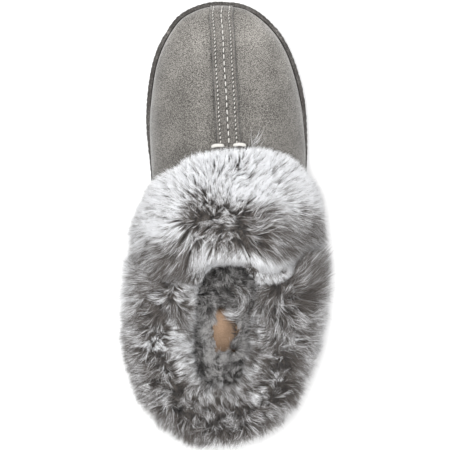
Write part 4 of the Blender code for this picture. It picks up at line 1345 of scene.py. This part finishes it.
def make_swirl():
    """A pale lock of the footbed's pile, swept round in front of the patch."""
    rng = np.random.default_rng(78)
    count = SWIRL_HAIRS
    radius = SWIRL_RADIUS + rng.normal(0, 1.9, count)
    start = rng.uniform(-1.3, 1.7, count)
    sweep = rng.uniform(0.8, 1.4, count)
    high = FOOTBED_TOP + rng.uniform(1.0, 4.5, count)
    points = []
    for t in STEPS:
        angle, far = start - sweep * t, radius + rng.normal(0, 0.25, count) - 0.8 * t
        points.append(coords(SWIRL[0] + far * np.cos(angle), SWIRL[1] + far * np.sin(angle),
                              high + 1.6 * math.sin(math.pi * t * 0.8)))
    frost = 0.72 - 0.2 * np.abs(radius - SWIRL_RADIUS) / 2 + rng.normal(0, 0.35, count) - 0.1 * start
    paths, widths = np.stack(points, axis=1), rng.uniform(0.07, 0.13, count)
    make_strands("footbed_swirl", "footbed_cover", paths, widths, frost, "fur")


def make_patch_hairs():
    """Dark hairs that lie over the lateral side of the heel patch."""
    rng = np.random.default_rng(79)
    count = PATCH_HAIRS
    x, y = PATCH_HAIRS_X + rng.normal(0, 0.8, count), rng.uniform(*PATCH_HAIRS_Y, count)
    turn = rng.normal(0.4, 0.7, count)
    reach, bend = rng.uniform(2.5, 5.5, count), rng.normal(0, 0.25, count)
    points = []
    for t in STEPS:
        angle, high = turn + bend * t, PATCH[1] + 0.35 + 0.5 * t * (1 - t)
        points.append(coords(x - reach * t * np.cos(angle), y + reach * t * np.sin(angle),
                              high + rng.uniform(0, 0.3, count)))
    make_strands("footbed_hairs", "footbed_cover", np.stack(points, axis=1),
                 np.full(count, 0.12), np.zeros(count), "plush")


def make_inside(vamp_inside, quarter_inside):
    """The plush on the footbed and on both linings, with the swirl and the hairs at the patch."""
    rng = np.random.default_rng(80)
    # All over the footbed, then more round the patch and at its lateral rear corner.
    spots = np.concatenate([
        coords(rng.uniform(-34, 33, FOOTBED_TUFTS), rng.uniform(-108, 12, FOOTBED_TUFTS)),
        coords(rng.uniform(-13, 11, PATCH_TUFTS), rng.uniform(-82, -42, PATCH_TUFTS)),
        coords(rng.normal(4, 3, CORNER_TUFTS), rng.normal(-75, 3, CORNER_TUFTS)),
    ])
    x = spots[:, 0]
    medial, lateral = sides(spots[:, 1])
    inside = (x > medial + WALL + 2.5) & (x < lateral - WALL - 2.5)
    seen = OPENING_EDGE.radius(spots) + 4 > OPENING_EDGE.distance(spots)
    window = WINDOW_EDGE.radius(spots) + 0.4 > WINDOW_EDGE.distance(spots)
    spots = spots[inside & ~window & (seen | (rng.random(len(spots)) < 0.3))]
    on_patch = np.all(np.abs(spots - PATCH_MIDDLE) < PATCH_HALF + 0.2, axis=1)
    base = raised(spots, np.where(on_patch, PATCH[1], FOOTBED_TOP) - 0.4)
    out = np.tile([0.0, 0.0, 1.0], (len(base), 1))
    make_swirl()
    make_patch_hairs()
    make_plush("footbed_pile", "footbed_cover", base, out, 81, 6.0, np.array([0.0, -0.2, 0.0]))
    # The vamp's lining carries pile only from a few rows behind the toe, where it can be seen.
    for node, (grid, outs), first, count, seed in (("vamp_lining", vamp_inside, 36, 1300, 150),
                                                   ("quarter_lining", quarter_inside, 0, 2600, 90)):
        grid, outs = grid[first:], outs[first:]
        u, v = scatter(grid, count, rng)
        base, out = bilinear(grid, u, v), unit(bilinear(outs, u, v))
        keep = base[:, 2] > FOOTBED_TOP + 1.5
        make_plush(node + "_pile", node, base[keep], out[keep], seed, 7.0, np.array([0.0, -0.2, -0.5]))


def make_patch():
    """Tan suede heel patch: a rounded, slightly pillowed piece, paler in its middle, with painted shadow
    along its top and at its lateral rear corner.
    """
    angle = np.linspace(0, 2 * math.pi, 200, endpoint=False)
    rounded = [np.sign(wave) * np.abs(wave) ** 0.6 for wave in (np.cos(angle), np.sin(angle))]
    line = PATCH_MIDDLE + np.column_stack(rounded) * PATCH_HALF
    rings = [raised(PATCH_MIDDLE + (line - PATCH_MIDDLE) * share, PATCH[0] + 0.2)
             for share in (0.0, 0.4, 1.0)]
    for share in np.concatenate([[1.0, 0.99, 0.96], np.linspace(0.92, 0.0, 24)]):
        flat = PATCH_MIDDLE + (line - PATCH_MIDDLE) * share
        rings.append(raised(flat, PATCH[1] - 0.9 * share ** 14 + 0.25 * waves(raised(flat, 0.0), 9.0, 4)))
    spots = np.concatenate(rings)
    x, y = spots[:, 0], spots[:, 1]
    pale = np.exp(-(((spots[:, :2] - PATCH_PALE) / np.array([4.0, 8.0])) ** 2).sum(axis=1))
    # Paler in the middle and darker towards the rear; the dark band along the top is painted shadow under the
    # pile, and the dark lateral rear corner is painted shade under the hairs.
    shade = 0.68 + 0.42 * pale - 0.22 * ramp(y, -70, -6)
    shade = np.maximum(shade * (1 - 0.9 * ramp(y, -55.5, 5)), 0.07)
    shade *= 1 - 0.8 * ramp(x, 2, 1.5) * ramp(y, -73.5, -1.5)
    faces = ring_quads(len(rings), len(line))[:, [0, 3, 2, 1]]
    made = make_mesh("heel_patch_suede", spots, [faces], LOOKS["tan"], shade=shade)
    done(made, "heel_patch")


# ---- scene

def keep_nodes():
    """The solids inside the slipper stay, with procedural materials in place of their plain ones."""
    for node, look in (("midsole", "foam"), ("insole_board", "board"), ("footbed_foam", "foam"),
                       ("toe_puff", "board"), ("heel_counter", "board")):
        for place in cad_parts[node].material_slots:
            place.material = LOOKS[look]


def make_stage():
    """A pale floor under a white sky, with a key light overhead and a weak fill light."""
    floor = bpy.data.meshes.new("floor")
    floor.from_pydata([(-4, -4, 0), (4, -4, 0), (4, 4, 0), (-4, 4, 0)], [], [(0, 1, 2, 3)])
    ground = add_object("floor", floor)
    ground.location.z = -0.0003
    look = Nodes("pale floor", 0.9, 0.1)
    shade = look.noise(look.place(), 2.0, 2.0)
    look.colour(look.ramp(shade, [(0.0, (0.9, 0.9, 0.9)), (1.0, (0.93, 0.93, 0.93))]))
    floor.materials.append(look.material)
    world = bpy.data.worlds.new("studio")
    world.use_nodes = True
    world.node_tree.nodes["Background"].inputs["Color"].default_value = (1.0, 1.0, 1.0, 1.0)
    world.node_tree.nodes["Background"].inputs["Strength"].default_value = 0.7
    bpy.context.scene.world = world
    for name, place, size, power in (("key", (-0.14, 0.12, 2.2), 0.8, 56.0),
                                     ("fill", (0.7, -0.5, 1.6), 1.6, 4.0)):
        light = bpy.data.lights.new(name, "AREA")
        light.shape = "DISK"
        light.size = size
        light.energy = power
        made = add_object(name, light)
        made.location = place
        made.rotation_euler = (-Vector(place)).to_track_quat("-Z", "Y").to_euler()
    bpy.context.scene.view_settings.view_transform = "Standard"


def make_camera():
    """Straight above, toe at the top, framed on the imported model's own box."""
    low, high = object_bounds()
    camera = bpy.data.cameras.new("camera")
    camera.lens = 400.0
    camera.sensor_width = 36.0
    view_width = 1.009 * (high.y - low.y)
    made = add_object("camera", camera)
    height = 0.03 + view_width * camera.lens / camera.sensor_width
    made.location = ((low.x + high.x) / 2 - 0.00135, (low.y + high.y) / 2 - 0.0007, height)
    camera.clip_end = 100.0
    bpy.context.scene.camera = made


make_camera()
make_stage()
keep_nodes()
make_outsole()
vamp_inside = make_vamp()
quarter_inside = make_quarters()
make_strip()
make_stitches()
make_tacks()
make_patch()
make_cover()
make_inside(vamp_inside, quarter_inside)
make_cuffs()
